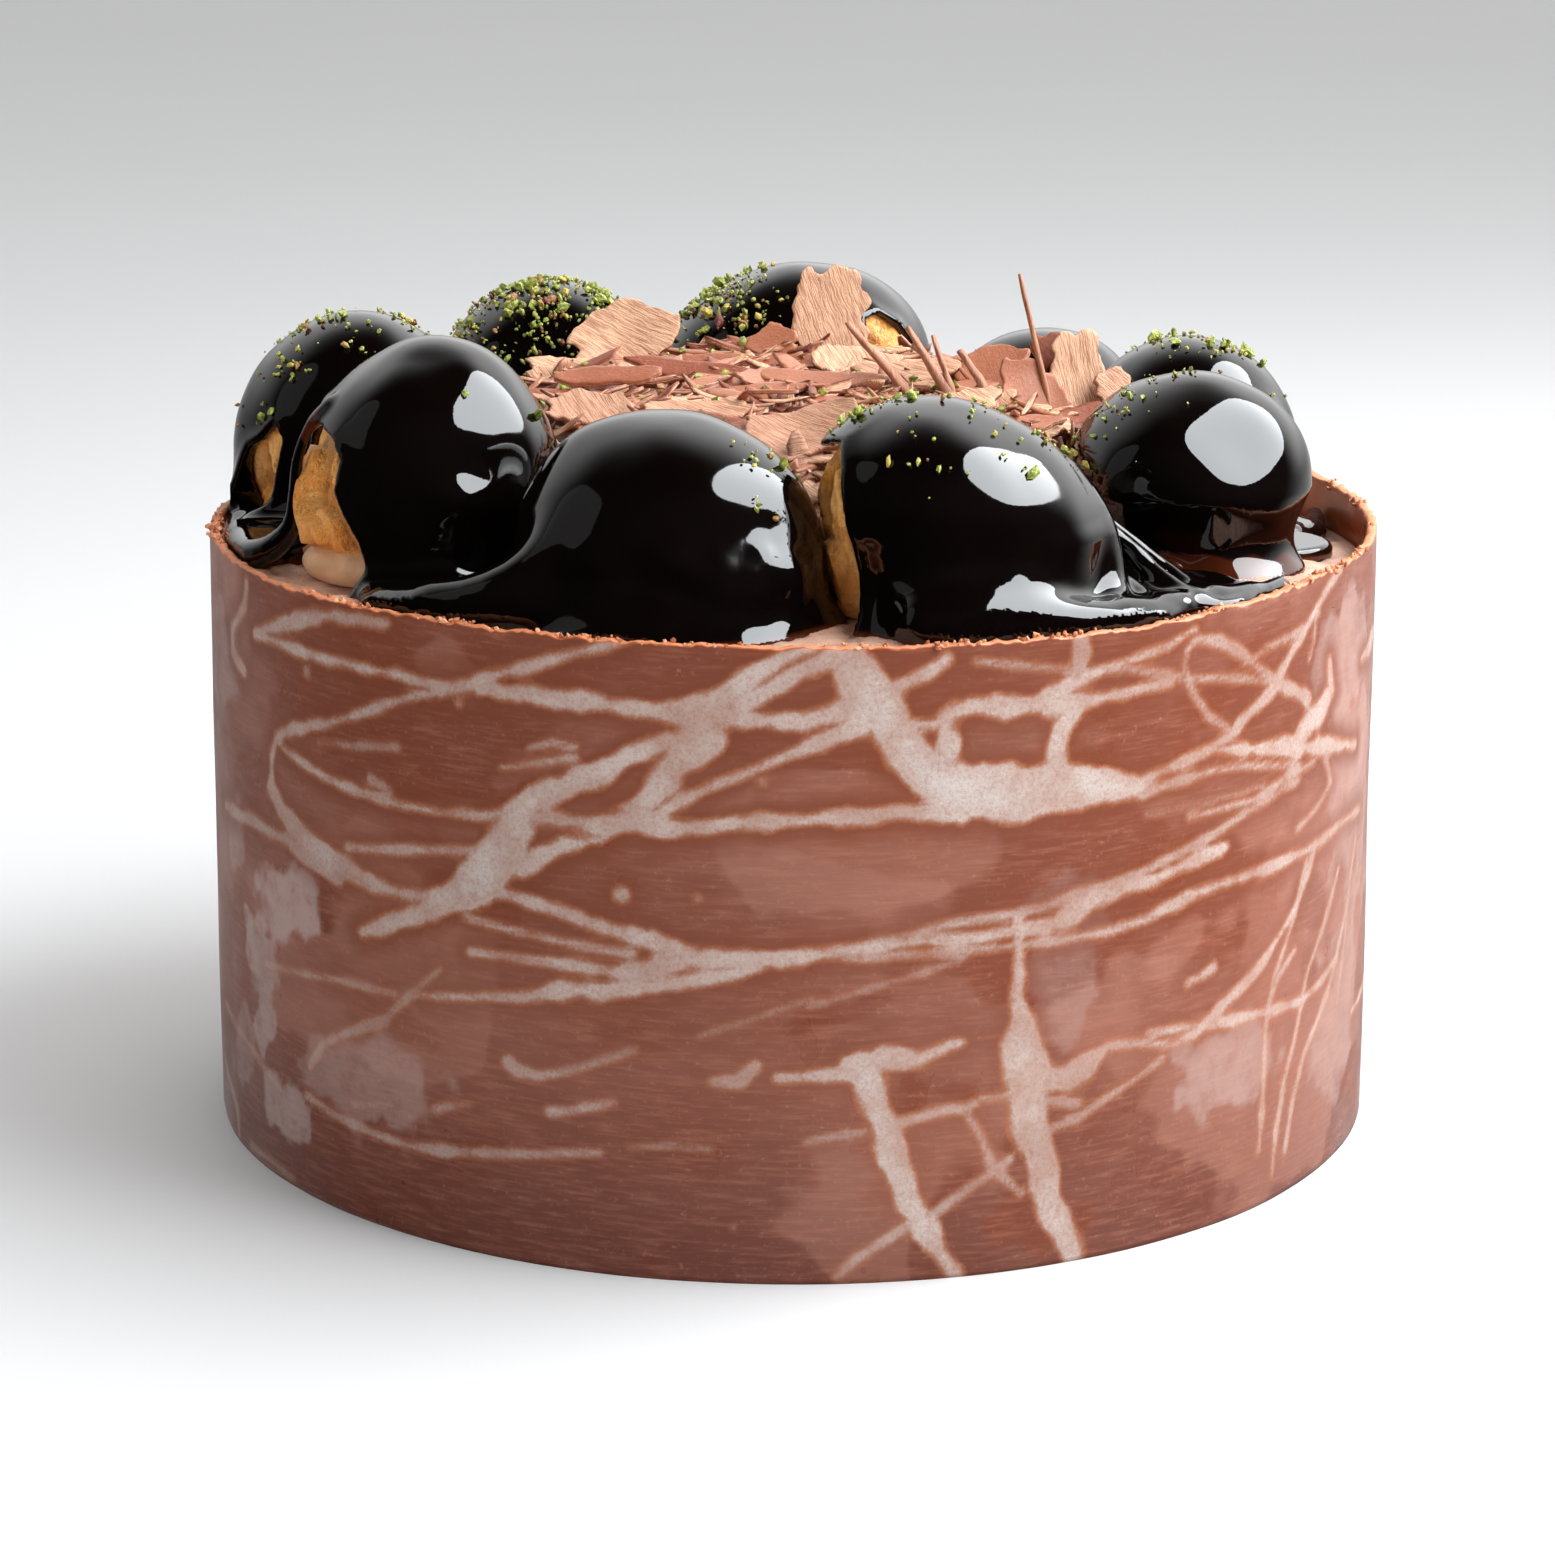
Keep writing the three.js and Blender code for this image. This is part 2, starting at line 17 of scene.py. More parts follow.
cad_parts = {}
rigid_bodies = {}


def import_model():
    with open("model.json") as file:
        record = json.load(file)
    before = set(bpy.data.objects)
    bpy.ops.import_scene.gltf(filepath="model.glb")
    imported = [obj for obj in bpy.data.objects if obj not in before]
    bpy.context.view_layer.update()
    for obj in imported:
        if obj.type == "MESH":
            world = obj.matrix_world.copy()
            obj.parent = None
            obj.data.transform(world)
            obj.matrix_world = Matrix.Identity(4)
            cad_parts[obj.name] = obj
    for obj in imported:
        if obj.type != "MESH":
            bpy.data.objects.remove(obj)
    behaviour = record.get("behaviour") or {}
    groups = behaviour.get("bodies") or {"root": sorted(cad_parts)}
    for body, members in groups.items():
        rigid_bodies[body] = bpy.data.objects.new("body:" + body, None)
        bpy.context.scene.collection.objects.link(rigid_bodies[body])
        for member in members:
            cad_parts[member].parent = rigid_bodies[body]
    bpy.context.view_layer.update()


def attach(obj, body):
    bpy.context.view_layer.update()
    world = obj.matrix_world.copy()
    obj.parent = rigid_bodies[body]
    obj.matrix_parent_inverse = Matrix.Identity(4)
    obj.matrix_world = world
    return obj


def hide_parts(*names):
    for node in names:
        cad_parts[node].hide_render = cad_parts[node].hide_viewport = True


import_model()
MM = 0.001
CM2_PER_M2 = 1e4

# ---- Sizes -----------------------------------------------------------------------------------

FAR = 99.0  # further than any distance that matters

COLLAR_RADIUS = 110.0  # outside, at the rim
COLLAR_FLARE = 1.2  # how much wider it is at the foot
COLLAR_WALL = 1.9
COLLAR_EDGE = 0.12  # how far the outside lies within its radius, so that the rim is rounded
COLLAR_LIP = 0.45  # how far under the rim the smooth outside ends
COLLAR_RIM = 111.8
COLLAR_LIFT = 1.4  # how much higher the rim stands at the back right
COLLAR_LIFT_BEARING = 125.0
INSIDE_COLLAR = 107.8
CHOCOLATE_GAP = 0.1  # between the collar and what it holds
FINE_FRONT = 98  # the collar is finely divided as far round as this
MOUSSE_SHOULDER = 100.0  # the mousse is smooth up to here
CREAM_TOP = 110.4
CREAM_DIP = 6.0
CREAM_DIP_BEARING = 104.0
CREAM_DIP_SPREAD = 52.0
CREAM_GAP = 0.1  # between the cream and what stands on it
COAT = 1.5  # thickness of the glaze over the pastry
POOL = 2.6  # and where it lies on the cream
SKIRT_RISE = 4.2  # how high up the glaze starts to spread over the cream
PUFF_LUMPS = 0.045
UNDER_GLAZE = 1.9  # how much the pastry is set back where glaze covers it
PASTRY_GAP = 0.08  # between the pastry and the glaze over it
POUR_GAP = 0.15  # between one pour and the next
POUR_SINK = 0.5  # how deep the pools lie in the cream
POUR_LIMITS = ((-110, -110, 102), (110, 110, 160))  # corners of a box that holds every pour
THIN_DEPTH = 3.2  # how much thinner the glaze looks in the middle of a thin spot
GLAZE_GRID = 0.8  # the step of the grid that draws the glaze
COARSE = 3  # steps of it in one step of the coarse grid
GRID_BAND = 3.0  # how far from the skin the grid holds distances

# The camera that took the photo: its place in front of the axis and above the foot of the cake, how
# it was turned, in radians, and its focal length and the photo's width, in pixels.
CAMERA_AWAY = 768.27
CAMERA_HIGH = 266.75
CAMERA_PITCH = 0.262893
CAMERA_YAW = -0.003686
CAMERA_ROLL = 0.002540
PHOTO_FOCUS = 4113.2
PHOTO_WIDTH = 1555

# Each profiterole: bearing, distance from the axis, width, depth, height of its crown, how far its
# glaze spreads over the cream, how far the crown leans sideways and outwards, how high up it is
# widest, and how much it tucks in below that.
PUFFS = [
    (-58.5, 77.0, 49.0, 46.0, 150.8, 6.0, 3.0, 0.0, 0.28, 0.25),
    (-15.2, 79.5, 49.8, 44.0, 143.2, 5.0, -2.5, -3.0, 0.34, 0.05),
    (21.8, 79.0, 49.0, 44.5, 145.6, 5.0, -6.0, -3.0, 0.40, 0.22),
    (68.5, 77.0, 40.0, 41.5, 142.2, 8.0, 2.0, 0.0, 0.44, 1.0),
    (101.5, 77.0, 39.0, 40.0, 142.2, 5.0, 0.0, 0.0, 0.40, 0.5),
    (140.0, 79.0, 36.0, 38.0, 136.3, 4.0, 0.0, 0.0, 0.40, 0.2),
    (180.5, 77.0, 55.0, 45.0, 147.4, 4.5, -3.0, 0.0, 0.40, 0.2),
    (218.5, 79.0, 43.0, 43.0, 145.8, 4.3, 0.0, 0.0, 0.40, 0.2),
    (262.0, 85.0, 45.0, 42.0, 147.8, 5.0, 3.0, -2.0, 0.36, 0.2),
]

# Which puffs share one pour of glaze, and its puddles on the cream: bearing, distance from the
# axis, and the two half widths, round the cake and outwards.
POURS = {
    "glaze_left": ((8, 0, 1), [(-79, 94, 17, 13), (-39, 91, 17, 19), (-72, 98, 9, 9), (-93, 99, 9, 8)]),
    "glaze_right": ((2, 3, 4), [(46, 88, 14, 20), (85, 86, 12, 16), (33, 95, 14, 14)]),
    "glaze_back_right": ((5,), []),
    "glaze_back": ((6, 7), [(200, 76, 12, 15)]),
}

# Thick runs of glaze: points along them and the radius at each point.
RUNS = {
    "glaze_left": [
        [(-82.0, -49, 141.0, 0.9), (-86.0, -49, 136.5, 0.9), (-88.0, -49, 131, 1.0),
         (-88.5, -49, 125, 1.3), (-89.5, -48, 119, 1.8), (-93.5, -45, 114.5, 2.4), (-98.5, -38, 112.0, 2.6),
         (-101.5, -26, 111.4, 2.4), (-103.5, -14, 111.2, 1.6)],
        [(-41, -62, 132, 1.5), (-38, -72, 125, 3.6), (-40, -82, 119, 5.0), (-48, -87, 114.5, 4.6)],
        [(-33, -84, 128, 3.0), (-40, -88, 121, 4.4), (-50, -89, 115.5, 4.2),
         (-62, -83, 112.8, 3.4), (-69, -77, 112.0, 2.4)],
        [(-60, -84, 112.2, 3.0), (-40, -92, 113.0, 3.6), (-22, -99, 112.6, 3.0)],
    ],
    "glaze_right": [
        [(47, -72, 133, 1.2), (51.0, -74, 127, 2.2), (53.2, -76, 120.5, 2.9), (53.8, -79, 115, 3.2),
         (55.0, -83, 111.8, 3.2)],
        [(52, -64, 125, 1.5), (58.5, -67, 119, 1.8), (64, -71, 114.5, 1.8), (69, -75, 111.8, 2.0)],
        [(54, -58, 123, 1.4), (60, -61, 118.5, 1.6), (67, -65, 113.5, 1.8), (72, -71, 111.4, 2.0)],
        [(51, -68, 121, 1.5), (57, -74, 114.5, 1.6), (62, -79, 111.8, 1.8)],
        [(22, -100.5, 112.2, 2.4), (31, -100.5, 112.4, 2.8), (44, -95, 112.4, 2.8),
         (56, -88, 111.8, 2.6), (66, -79, 111.2, 2.2)],
        [(70, -74, 111, 2.0), (80, -66, 110.6, 2.2), (86, -57, 110.4, 2.0)],
        [(96, 4, 107, 2.0), (101, 14, 106, 2.2), (102.5, 27, 106.4, 1.8)],
    ],
    "glaze_back_right": [],
    "glaze_back": [],
}

# Soft swellings (+) and dents (-) in the glaze: place, reach and height.
SWELLINGS = [
    (-64.4, -52.2, 151.5, 6.0, -0.9),
    (-56.0, -54.0, 150.6, 4.0, 0.5),
    (-54.0, -59.0, 140.5, 8.0, -0.7),
    (-56.0, -63.5, 133.0, 4.6, -1.0),
    (-48.0, -61.0, 133.5, 5.0, -1.2),
    (-57.0, -66.5, 127.0, 4.6, 1.1),
    (-49.0, -66.0, 127.0, 4.6, 0.9),
    (-36.0, -98.0, 124.0, 5.0, 1.2),
    (-26.0, -100.0, 121.5, 4.0, -0.9),
    (-20.0, -101.0, 125.5, 4.0, 0.9),
    (-18.5, -101.0, 118.0, 4.2, -0.8),
    (-18.0, -96.5, 128.0, 5.5, -0.9),
    (-10.0, -96.0, 127.5, 5.5, -1.0),
    (-2.0, -92.0, 128.0, 5.5, -0.8),
    (-8.0, -98.0, 118.0, 5.0, 1.5),
    (-1.5, -94.0, 119.5, 4.0, 1.5),
    (33.0, -97.5, 124.5, 4.6, -1.2),
    (41.0, -94.5, 125.0, 4.6, -1.1),
    (20.0, -98.0, 115.0, 4.8, 2.2),
    (24.5, -99.0, 115.2, 4.8, 2.6),
    (29.0, -99.0, 115.4, 4.8, 2.2),
    (33.5, -98.2, 115.7, 4.8, 1.7),
    (38.0, -96.6, 116.0, 4.8, 1.2),
    (42.5, -94.2, 116.3, 4.6, 0.9),
    (27.0, -91.0, 136.5, 9.0, 1.3),
    (-17.0, -90.5, 133.0, 9.0, 1.3),
    (80.5, -44.5, 133.5, 8.0, -1.7),
    (65.0, -47.0, 134.0, 8.0, 1.1),
    (79.0, -52.0, 111.5, 5.0, 0.8),
]

# Where the glaze is wrinkled: place, reach, depth and size of the wrinkles.
WRINKLES = [
    (-4.0, -93.0, 118.0, 9.0, 1.0, 4.2),
    (-26.0, -100.0, 114.0, 10.0, 0.5, 6.0),
    (62.0, -70.0, 115.0, 7.0, 0.7, 4.0),
    (100.0, 14.0, 108.0, 8.0, 0.6, 4.0),
]

# Where the glaze is so thin that it looks brown: place and reach.
THIN_SPOTS = [
    (-84.0, -49.0, 140.0, 3.0), (-86.0, -50.0, 136.0, 2.0), (52.0, -75.0, 127.5, 3.0),
    (66.0, -46.0, 114.5, 5.0), (74.0, -48.5, 114.5, 5.0), (83.0, -46.0, 115.0, 5.0),
    (90.0, -40.0, 113.0, 4.0),
]

# Where chopped pistachio fell: place, reach, and how thickly it lies in the middle.
NUT_SPOTS = [
    (-62.0, 50.0, 141.0, 9.0, 1.0), (-52.0, 48.0, 143.5, 10.0, 0.9), (-45.0, 57.0, 147.0, 9.0, 1.0),
    (-38.0, 60.0, 145.0, 8.0, 0.6), (-52.0, 42.0, 137.0, 7.0, 0.6), (-43.0, 47.0, 142.0, 8.0, 0.35),
    (-60.0, 62.0, 144.0, 10.0, 0.7), (-52.0, 72.0, 143.0, 12.0, 0.5), (-62.0, 46.0, 138.0, 5.0, 1.0),
    (-25.0, 79.0, 141.0, 8.0, 0.8), (-18.0, 73.0, 144.0, 7.0, 0.8), (-12.0, 66.0, 144.0, 6.0, 0.6),
    (-17.0, 64.0, 140.0, 8.0, 0.5), (-10.0, 60.0, 141.0, 5.0, 0.6), (-14.0, 84.0, 145.0, 9.0, 0.5),
    (82.0, 14.5, 144.0, 4.2, 1.2), (78.0, 11.0, 144.0, 8.0, 0.35), (90.0, 17.0, 141.5, 6.0, 0.3),
    (72.0, 18.0, 144.0, 7.0, 0.25), (-71.5, 13.5, 147.0, 5.0, 1.1), (-84.0, 2.0, 149.0, 8.0, 0.45),
    (-97.0, -2.0, 141.0, 7.0, 0.35), (-92.0, 14.0, 148.0, 9.0, 0.3), (-103.0, -4.0, 134.0, 6.0, 0.15),
    (12.5, -73.5, 145.7, 3.6, 0.9), (8.0, -74.0, 142.5, 3.0, 0.8), (20.0, -73.0, 148.0, 6.0, 0.3),
    (32.0, -73.0, 147.0, 7.0, 0.35), (43.0, -76.0, 142.0, 5.0, 0.45), (41.4, -88.0, 137.0, 2.0, 0.8),
    (23.0, -89.0, 141.5, 6.0, 0.12), (36.0, -84.0, 143.0, 5.0, 0.15), (23.3, -94.0, 136.0, 2.5, 0.3),
    (72.0, -29.0, 144.0, 2.6, 0.7), (64.0, -32.0, 142.0, 7.0, 0.3), (53.0, -24.0, 137.0, 4.0, 0.5),
    (58.0, -34.0, 138.0, 5.0, 0.35), (51.0, -29.5, 131.0, 3.0, 0.5), (60.0, -43.0, 133.0, 5.0, 0.12),
    (-4.5, -81.4, 137.6, 3.0, 0.9), (-0.5, -78.3, 134.7, 2.4, 1.0), (-8.0, -86.0, 137.7, 4.0, 0.3),
    (-2.7, -91.0, 129.8, 1.7, 0.8), (-11.6, -98.7, 126.2, 1.8, 0.8), (-6.1, -91.5, 132.7, 1.6, 0.5),
    (-41.9, -49.2, 136.8, 3.0, 0.3), (-56.0, -58.0, 146.6, 5.0, 0.05), (65.0, -70.0, 111.0, 3.0, 0.5),
]

# Where the glaze ran past and left the pastry bare: the puff, then the outline of the bare patch
# as bearings seen from the middle of that puff and heights.
BARE = [
    (0, [(-100, 139.0), (-88, 140.2), (-72, 139.6), (-57, 137.9), (-41, 136.4), (-34, 133.3), (-35, 128.0),
         (-30, 124.2), (-23, 119.6), (-19, 114.5), (-26, 108.0), (-60, 108.0), (-96, 108.6),
         (-106, 116.0), (-108, 128.5)]),
    (8, [(-43, 126.7), (-34, 130.0), (-29, 127.4), (-33, 121.5), (-37, 115.3), (-45, 111.0),
         (-68, 109.6), (-72, 114.9), (-60, 121.1), (-52, 125.0)]),
    (2, [(-90, 138.5), (-78, 140.0), (-68, 140.6), (-59, 137.6), (-53, 132.0), (-49, 125.5),
         (-46, 118.6), (-43, 112.8), (-42, 107.0), (-110, 107.0), (-134, 116.0), (-136, 130.0),
         (-120, 139.0), (-104, 140.5)]),
    (6, [(46, 139.6), (56, 140.4), (64, 137.8), (67, 133.8), (61, 130.0), (47, 129.4),
         (39, 134.6)]),
    (4, [(52, 128.0), (60, 131.0), (68, 127.0), (70, 118.0), (66, 110.0), (55, 110.5),
         (50, 119.0)]),
    (7, [(206, 133.0), (215, 137.0), (224, 131.0), (226, 121.0), (222, 111.0), (209, 110.0),
         (204, 120.0)]),
]

# The cream filling that was pressed out under the first profiterole: bearing and distance from
# the middle of the puff, width, depth and thickness.
FILLING = (-44.0, 17.0, 24.0, 15.0, 8.5)

BED_RADIUS = 58.0
BED_FOOT = 108.0
BED_MIDDLE = 132.3
BED_EDGE = 130.6
BED_SHOULDER = 48.0
BED_RISE = 0.055

# Pale streaks in the collar as the photo shows them: strength, then points as column, row and
# width in its pixels. MARKS_RADIUS is where on the flared collar they are taken to lie.
MARKS_RADIUS = 110.5
MARKS = [
    (0.8, [(253, 634, 5), (285, 622, 10), (330, 616, 9), (385, 624, 5)]),
    (0.7, [(243, 583, 5), (242, 606, 6), (230, 628, 12), (231, 652, 13), (242, 672, 6)]),
    (0.9, [(253, 634, 6), (378, 672, 5), (452, 688, 11), (478, 684, 14), (493, 676, 9), (640, 636, 4)]),
    (0.95, [(478, 688, 14), (520, 694, 10), (649, 710, 14), (690, 715, 18)]),
    (0.75, [(452, 691, 8), (413, 696, 6), (324, 725, 7), (290, 729, 10), (275, 738, 11)]),
    (0.4, [(317, 743, 4), (397, 748, 4)]),
    (0.85, [(275, 740, 8), (286, 752, 5), (320, 775, 5), (359, 793, 5), (436, 812, 5), (474, 816, 6),
          (512, 815, 6)]),
    (0.5, [(370, 779, 7), (390, 791, 4)]),
    (0.75, [(275, 740, 8), (270, 760, 8), (270, 785, 12), (280, 810, 14), (305, 838, 16), (330, 858, 24),
          (359, 877, 16), (390, 891, 8), (430, 899, 6), (450, 897, 8)]),
    (0.6, [(226, 806, 9), (255, 823, 8), (286, 840, 8), (312, 862, 10), (340, 877, 10)]),
    (0.7, [(347, 847, 5), (485, 850, 6)]),
    (1, [(667, 741, 10), (631, 756, 13), (596, 775, 15), (551, 792, 18), (525, 808, 26), (508, 835, 34),
          (497, 862, 44), (478, 882, 40), (440, 900, 22), (420, 914, 16), (363, 932, 7)]),
    (0.95, [(703, 738, 36), (680, 763, 26), (642, 806, 22), (624, 820, 20), (567, 843, 14),
          (520, 870, 12)]),
    (0.8, [(530, 815, 12), (575, 822, 8), (624, 820, 8)]),
    (0.9, [(478, 886, 12), (532, 902, 9), (690, 953, 12)]),
    (0.7, [(467, 918, 4), (631, 955, 6)]),
    (0.85, [(470, 952, 4), (551, 962, 6), (631, 974, 14), (660, 970, 14)]),
    (0.9, [(413, 995, 3), (520, 998, 6), (551, 991, 10), (575, 991, 17), (649, 988, 9), (760, 968, 6)]),
    (0.55, [(267, 964, 4), (340, 980, 4), (395, 994, 4)]),
    (0.5, [(440, 970, 3), (386, 1018, 8), (324, 1043, 7), (312, 1066, 6)]),
    (0.6, [(509, 1062, 9), (516, 1070, 9), (540, 1076, 5), (570, 1072, 5), (635, 1050, 3)]),
    (0.7, [(551, 1111, 7), (574, 1110, 8), (613, 1102, 6)]),
    (0.6, [(436, 1108, 6), (470, 1104, 4)]),
    (0.35, [(355, 1104, 4), (393, 1105, 4)]),
    (0.6, [(309, 1095, 5), (336, 1114, 5), (397, 1141, 6), (436, 1150, 8), (601, 1152, 3)]),
    (0.4, [(228, 1002, 5), (251, 1045, 5), (282, 1087, 5)]),
    (0.5, [(228, 1060, 6), (240, 1106, 7), (243, 1137, 5)]),
    (0.4, [(255, 1145, 6), (274, 1160, 6), (297, 1179, 4)]),
    (0.7, [(501, 768, 3), (574, 758, 4)]),
    (0.6, [(528, 748, 3), (551, 743, 5), (574, 748, 3)]),
    (0.95, [(703, 712, 26), (731, 691, 16), (781, 659, 10), (810, 648, 8)]),
    (0.9, [(740, 708, 12), (803, 670, 10), (831, 660, 14), (864, 664, 18)]),
    (0.95, [(842, 652, 24), (862, 675, 40), (872, 700, 50), (866, 722, 30)]),
    (0.9, [(717, 716, 18), (760, 721, 9), (803, 724, 10), (839, 713, 14), (860, 705, 20)]),
    (0.9, [(858, 728, 14), (789, 756, 7), (678, 802, 7), (656, 816, 8)]),
    (0.95, [(642, 822, 16), (667, 831, 16), (739, 824, 11), (903, 812, 12), (945, 812, 14)]),
    (1, [(880, 712, 40), (920, 768, 40), (945, 785, 46), (975, 795, 52), (1010, 794, 54), (1048, 790, 42),
          (1098, 787, 34), (1125, 788, 24), (1143, 784, 14)]),
    (0.8, [(1143, 782, 12), (1173, 767, 9), (1207, 754, 9), (1232, 737, 10), (1248, 717, 8), (1273, 692, 9),
          (1294, 654, 8), (1332, 587, 7), (1346, 568, 6)]),
    (0.9, [(878, 694, 10), (931, 674, 11), (948, 660, 8)]),
    (0.9, [(890, 724, 14), (935, 725, 10), (953, 714, 16), (974, 708, 20), (1005, 710, 18), (1036, 704, 14),
          (1082, 679, 14), (1107, 670, 7), (1173, 646, 4), (1198, 629, 3)]),
    (0.85, [(1050, 708, 14), (1173, 683, 6)]),
    (0.9, [(1077, 712, 10), (1064, 730, 12), (1058, 750, 14), (1058, 775, 16)]),
    (0.6, [(1084, 633, 14), (1084, 656, 14), (1080, 679, 14)]),
    (0.6, [(977, 662, 3), (1077, 671, 5), (1140, 671, 5), (1190, 679, 4), (1240, 679, 4), (1273, 683, 4)]),
    (0.9, [(950, 715, 16), (945, 775, 20)]),
    (0.7, [(1190, 650, 4), (1198, 641, 6), (1223, 642, 7), (1248, 656, 6), (1273, 679, 6),
          (1310, 700, 10)]),
    (0.6, [(1190, 650, 4), (1187, 667, 5), (1194, 692, 5), (1211, 717, 6), (1232, 731, 6)]),
    (0.6, [(1248, 662, 3), (1273, 647, 4), (1302, 633, 5), (1323, 612, 4)]),
    (0.85, [(1332, 660, 8), (1333, 690, 12), (1318, 715, 22), (1305, 735, 26), (1296, 748, 14)]),
    (0.5, [(1319, 612, 4), (1317, 640, 5), (1312, 660, 5)]),
    (0.9, [(1207, 750, 4), (1294, 748, 16), (1357, 744, 6)]),
    (0.7, [(1143, 792, 8), (1215, 771, 5), (1248, 766, 4), (1302, 766, 5)]),
    (0.7, [(1190, 817, 5), (1257, 800, 6), (1286, 779, 6), (1315, 762, 6)]),
    (0.6, [(1327, 758, 6), (1332, 783, 5), (1318, 808, 4), (1298, 829, 3)]),
    (0.65, [(870, 945, 5), (953, 924, 5), (1044, 908, 6), (1098, 888, 6), (1140, 875, 6), (1265, 800, 6),
          (1300, 780, 5)]),
    (0.9, [(660, 963, 14), (692, 958, 14), (739, 959, 14), (774, 961, 10), (917, 940, 9), (953, 941, 9),
          (1002, 935, 8), (1048, 925, 14), (1075, 912, 20), (1100, 898, 14), (1125, 888, 8),
          (1157, 879, 10), (1190, 862, 10), (1228, 846, 6)]),
    (0.75, [(846, 958, 4), (1107, 933, 6), (1148, 919, 7), (1190, 896, 8), (1232, 880, 9), (1315, 846, 7),
          (1340, 825, 6), (1361, 808, 5)]),
    (0.35, [(810, 1006, 3), (964, 959, 3)]),
    (0.3, [(699, 1036, 2), (810, 999, 2)]),
    (0.35, [(560, 1070, 4), (631, 1050, 3)]),
    (0.6, [(714, 1081, 5), (739, 1081, 8), (756, 1065, 6)]),
    (0.8, [(778, 1077, 5), (846, 1074, 10), (868, 1080, 18)]),
    (0.85, [(850, 1066, 14), (892, 1057, 18), (917, 1060, 14), (949, 1045, 8), (962, 1042, 6)]),
    (1, [(866, 1078, 24), (907, 1199, 20), (955, 1277, 12)]),
    (0.8, [(892, 1124, 7), (953, 1109, 8), (967, 1108, 9), (981, 1099, 6), (1020, 1095, 8)]),
    (0.6, [(967, 1113, 4), (981, 1138, 4), (992, 1168, 6), (1020, 1192, 4)]),
    (0.65, [(1010, 1158, 4), (918, 1222, 5)]),
    (0.6, [(908, 1224, 6), (856, 1259, 7), (835, 1277, 5)]),
    (0.4, [(806, 1141, 4), (864, 1131, 5)]),
    (0.4, [(631, 1147, 3), (674, 1145, 6), (710, 1149, 3)]),
    (0.9, [(1019, 917, 6), (1019, 1000, 14), (1022, 1042, 30), (1027, 1083, 40), (1030, 1125, 34),
          (1049, 1200, 26), (1070, 1256, 20)]),
    (0.8, [(1045, 1083, 14), (1069, 1079, 24), (1086, 1062, 20), (1107, 1046, 10), (1136, 1043, 6),
          (1173, 1044, 6), (1198, 1029, 10), (1223, 1004, 12), (1248, 979, 10), (1269, 950, 6),
          (1294, 912, 6), (1315, 850, 5)]),
    (0.8, [(1148, 1033, 5), (1232, 1019, 8), (1298, 1002, 7), (1319, 983, 6), (1336, 958, 5)]),
    (0.6, [(1048, 1129, 6), (1077, 1117, 7), (1161, 1058, 4)]),
    (0.6, [(1040, 1100, 10), (1077, 1102, 7)]),
    (0.7, [(1188, 983, 6), (1211, 969, 8)]),
    (0.65, [(1307, 862, 5), (1294, 917, 6), (1273, 979, 6), (1265, 1021, 6), (1259, 1125, 7),
          (1256, 1150, 5)]),
    (0.6, [(1340, 867, 4), (1327, 917, 5), (1307, 971, 5), (1294, 1037, 5), (1282, 1083, 5),
          (1273, 1133, 5), (1269, 1175, 4)]),
    (0.55, [(1348, 900, 4), (1327, 992, 5), (1302, 1054, 5), (1290, 1104, 5), (1282, 1150, 4)]),
    (0.4, [(1357, 833, 4), (1350, 880, 4), (1344, 938, 4), (1336, 1000, 4)]),
    (0.6, [(1294, 950, 4), (1278, 975, 7), (1269, 1000, 4)]),
    (0.3, [(1148, 815, 2), (1265, 785, 2)]),
]

# Pale drops: bearing, height, radius and strength.
DROPS = [
    (-50.4, 97.7, 1.1, 0.5), (-30.8, 98.2, 0.7, 0.7), (-15.0, 68.2, 1.5, 0.7),
    (-8.2, 68.5, 0.7, 0.5), (-5.1, 10.1, 0.5, 0.4), (-2.5, 88.7, 0.7, 0.5),
]

# Brown islands left inside the widest streaks: bearing, height and the two half widths.
ISLANDS = [
    (-17.2, 83.0, 4.0, 1.2), (-19.9, 78.0, 3.6, 0.7), (15.5, 98.0, 3.0, 1.6), (19.5, 93.0, 2.6, 1.1),
]

# Dull patches where the chocolate bloomed: bearing, height, the two half widths and strength.
BLOOM = [
    (-68.0, 61.5, 5.5, 7.8, 0.75), (-55.2, 53.0, 11.0, 7.2, 0.9), (-61.5, 40.7, 7.5, 7.8, 0.9),
    (-60.5, 27.3, 5.0, 5.1, 0.85), (-55.5, 14.3, 9.0, 5.5, 0.8), (-42.3, 25.5, 16.0, 8.5, 0.45),
    (44.6, 29.4, 13.0, 7.9, 0.5), (25.0, 55.8, 6.2, 17.0, 0.25), (-66.0, 20.0, 5.0, 9.0, 0.5),
    (-72.0, 92.0, 12.0, 9.0, 0.5), (64.0, 96.0, 14.0, 10.0, 0.5),
    (70.0, 66.0, 14.0, 20.0, 0.45), (66.0, 30.0, 12.0, 16.0, 0.4),
]

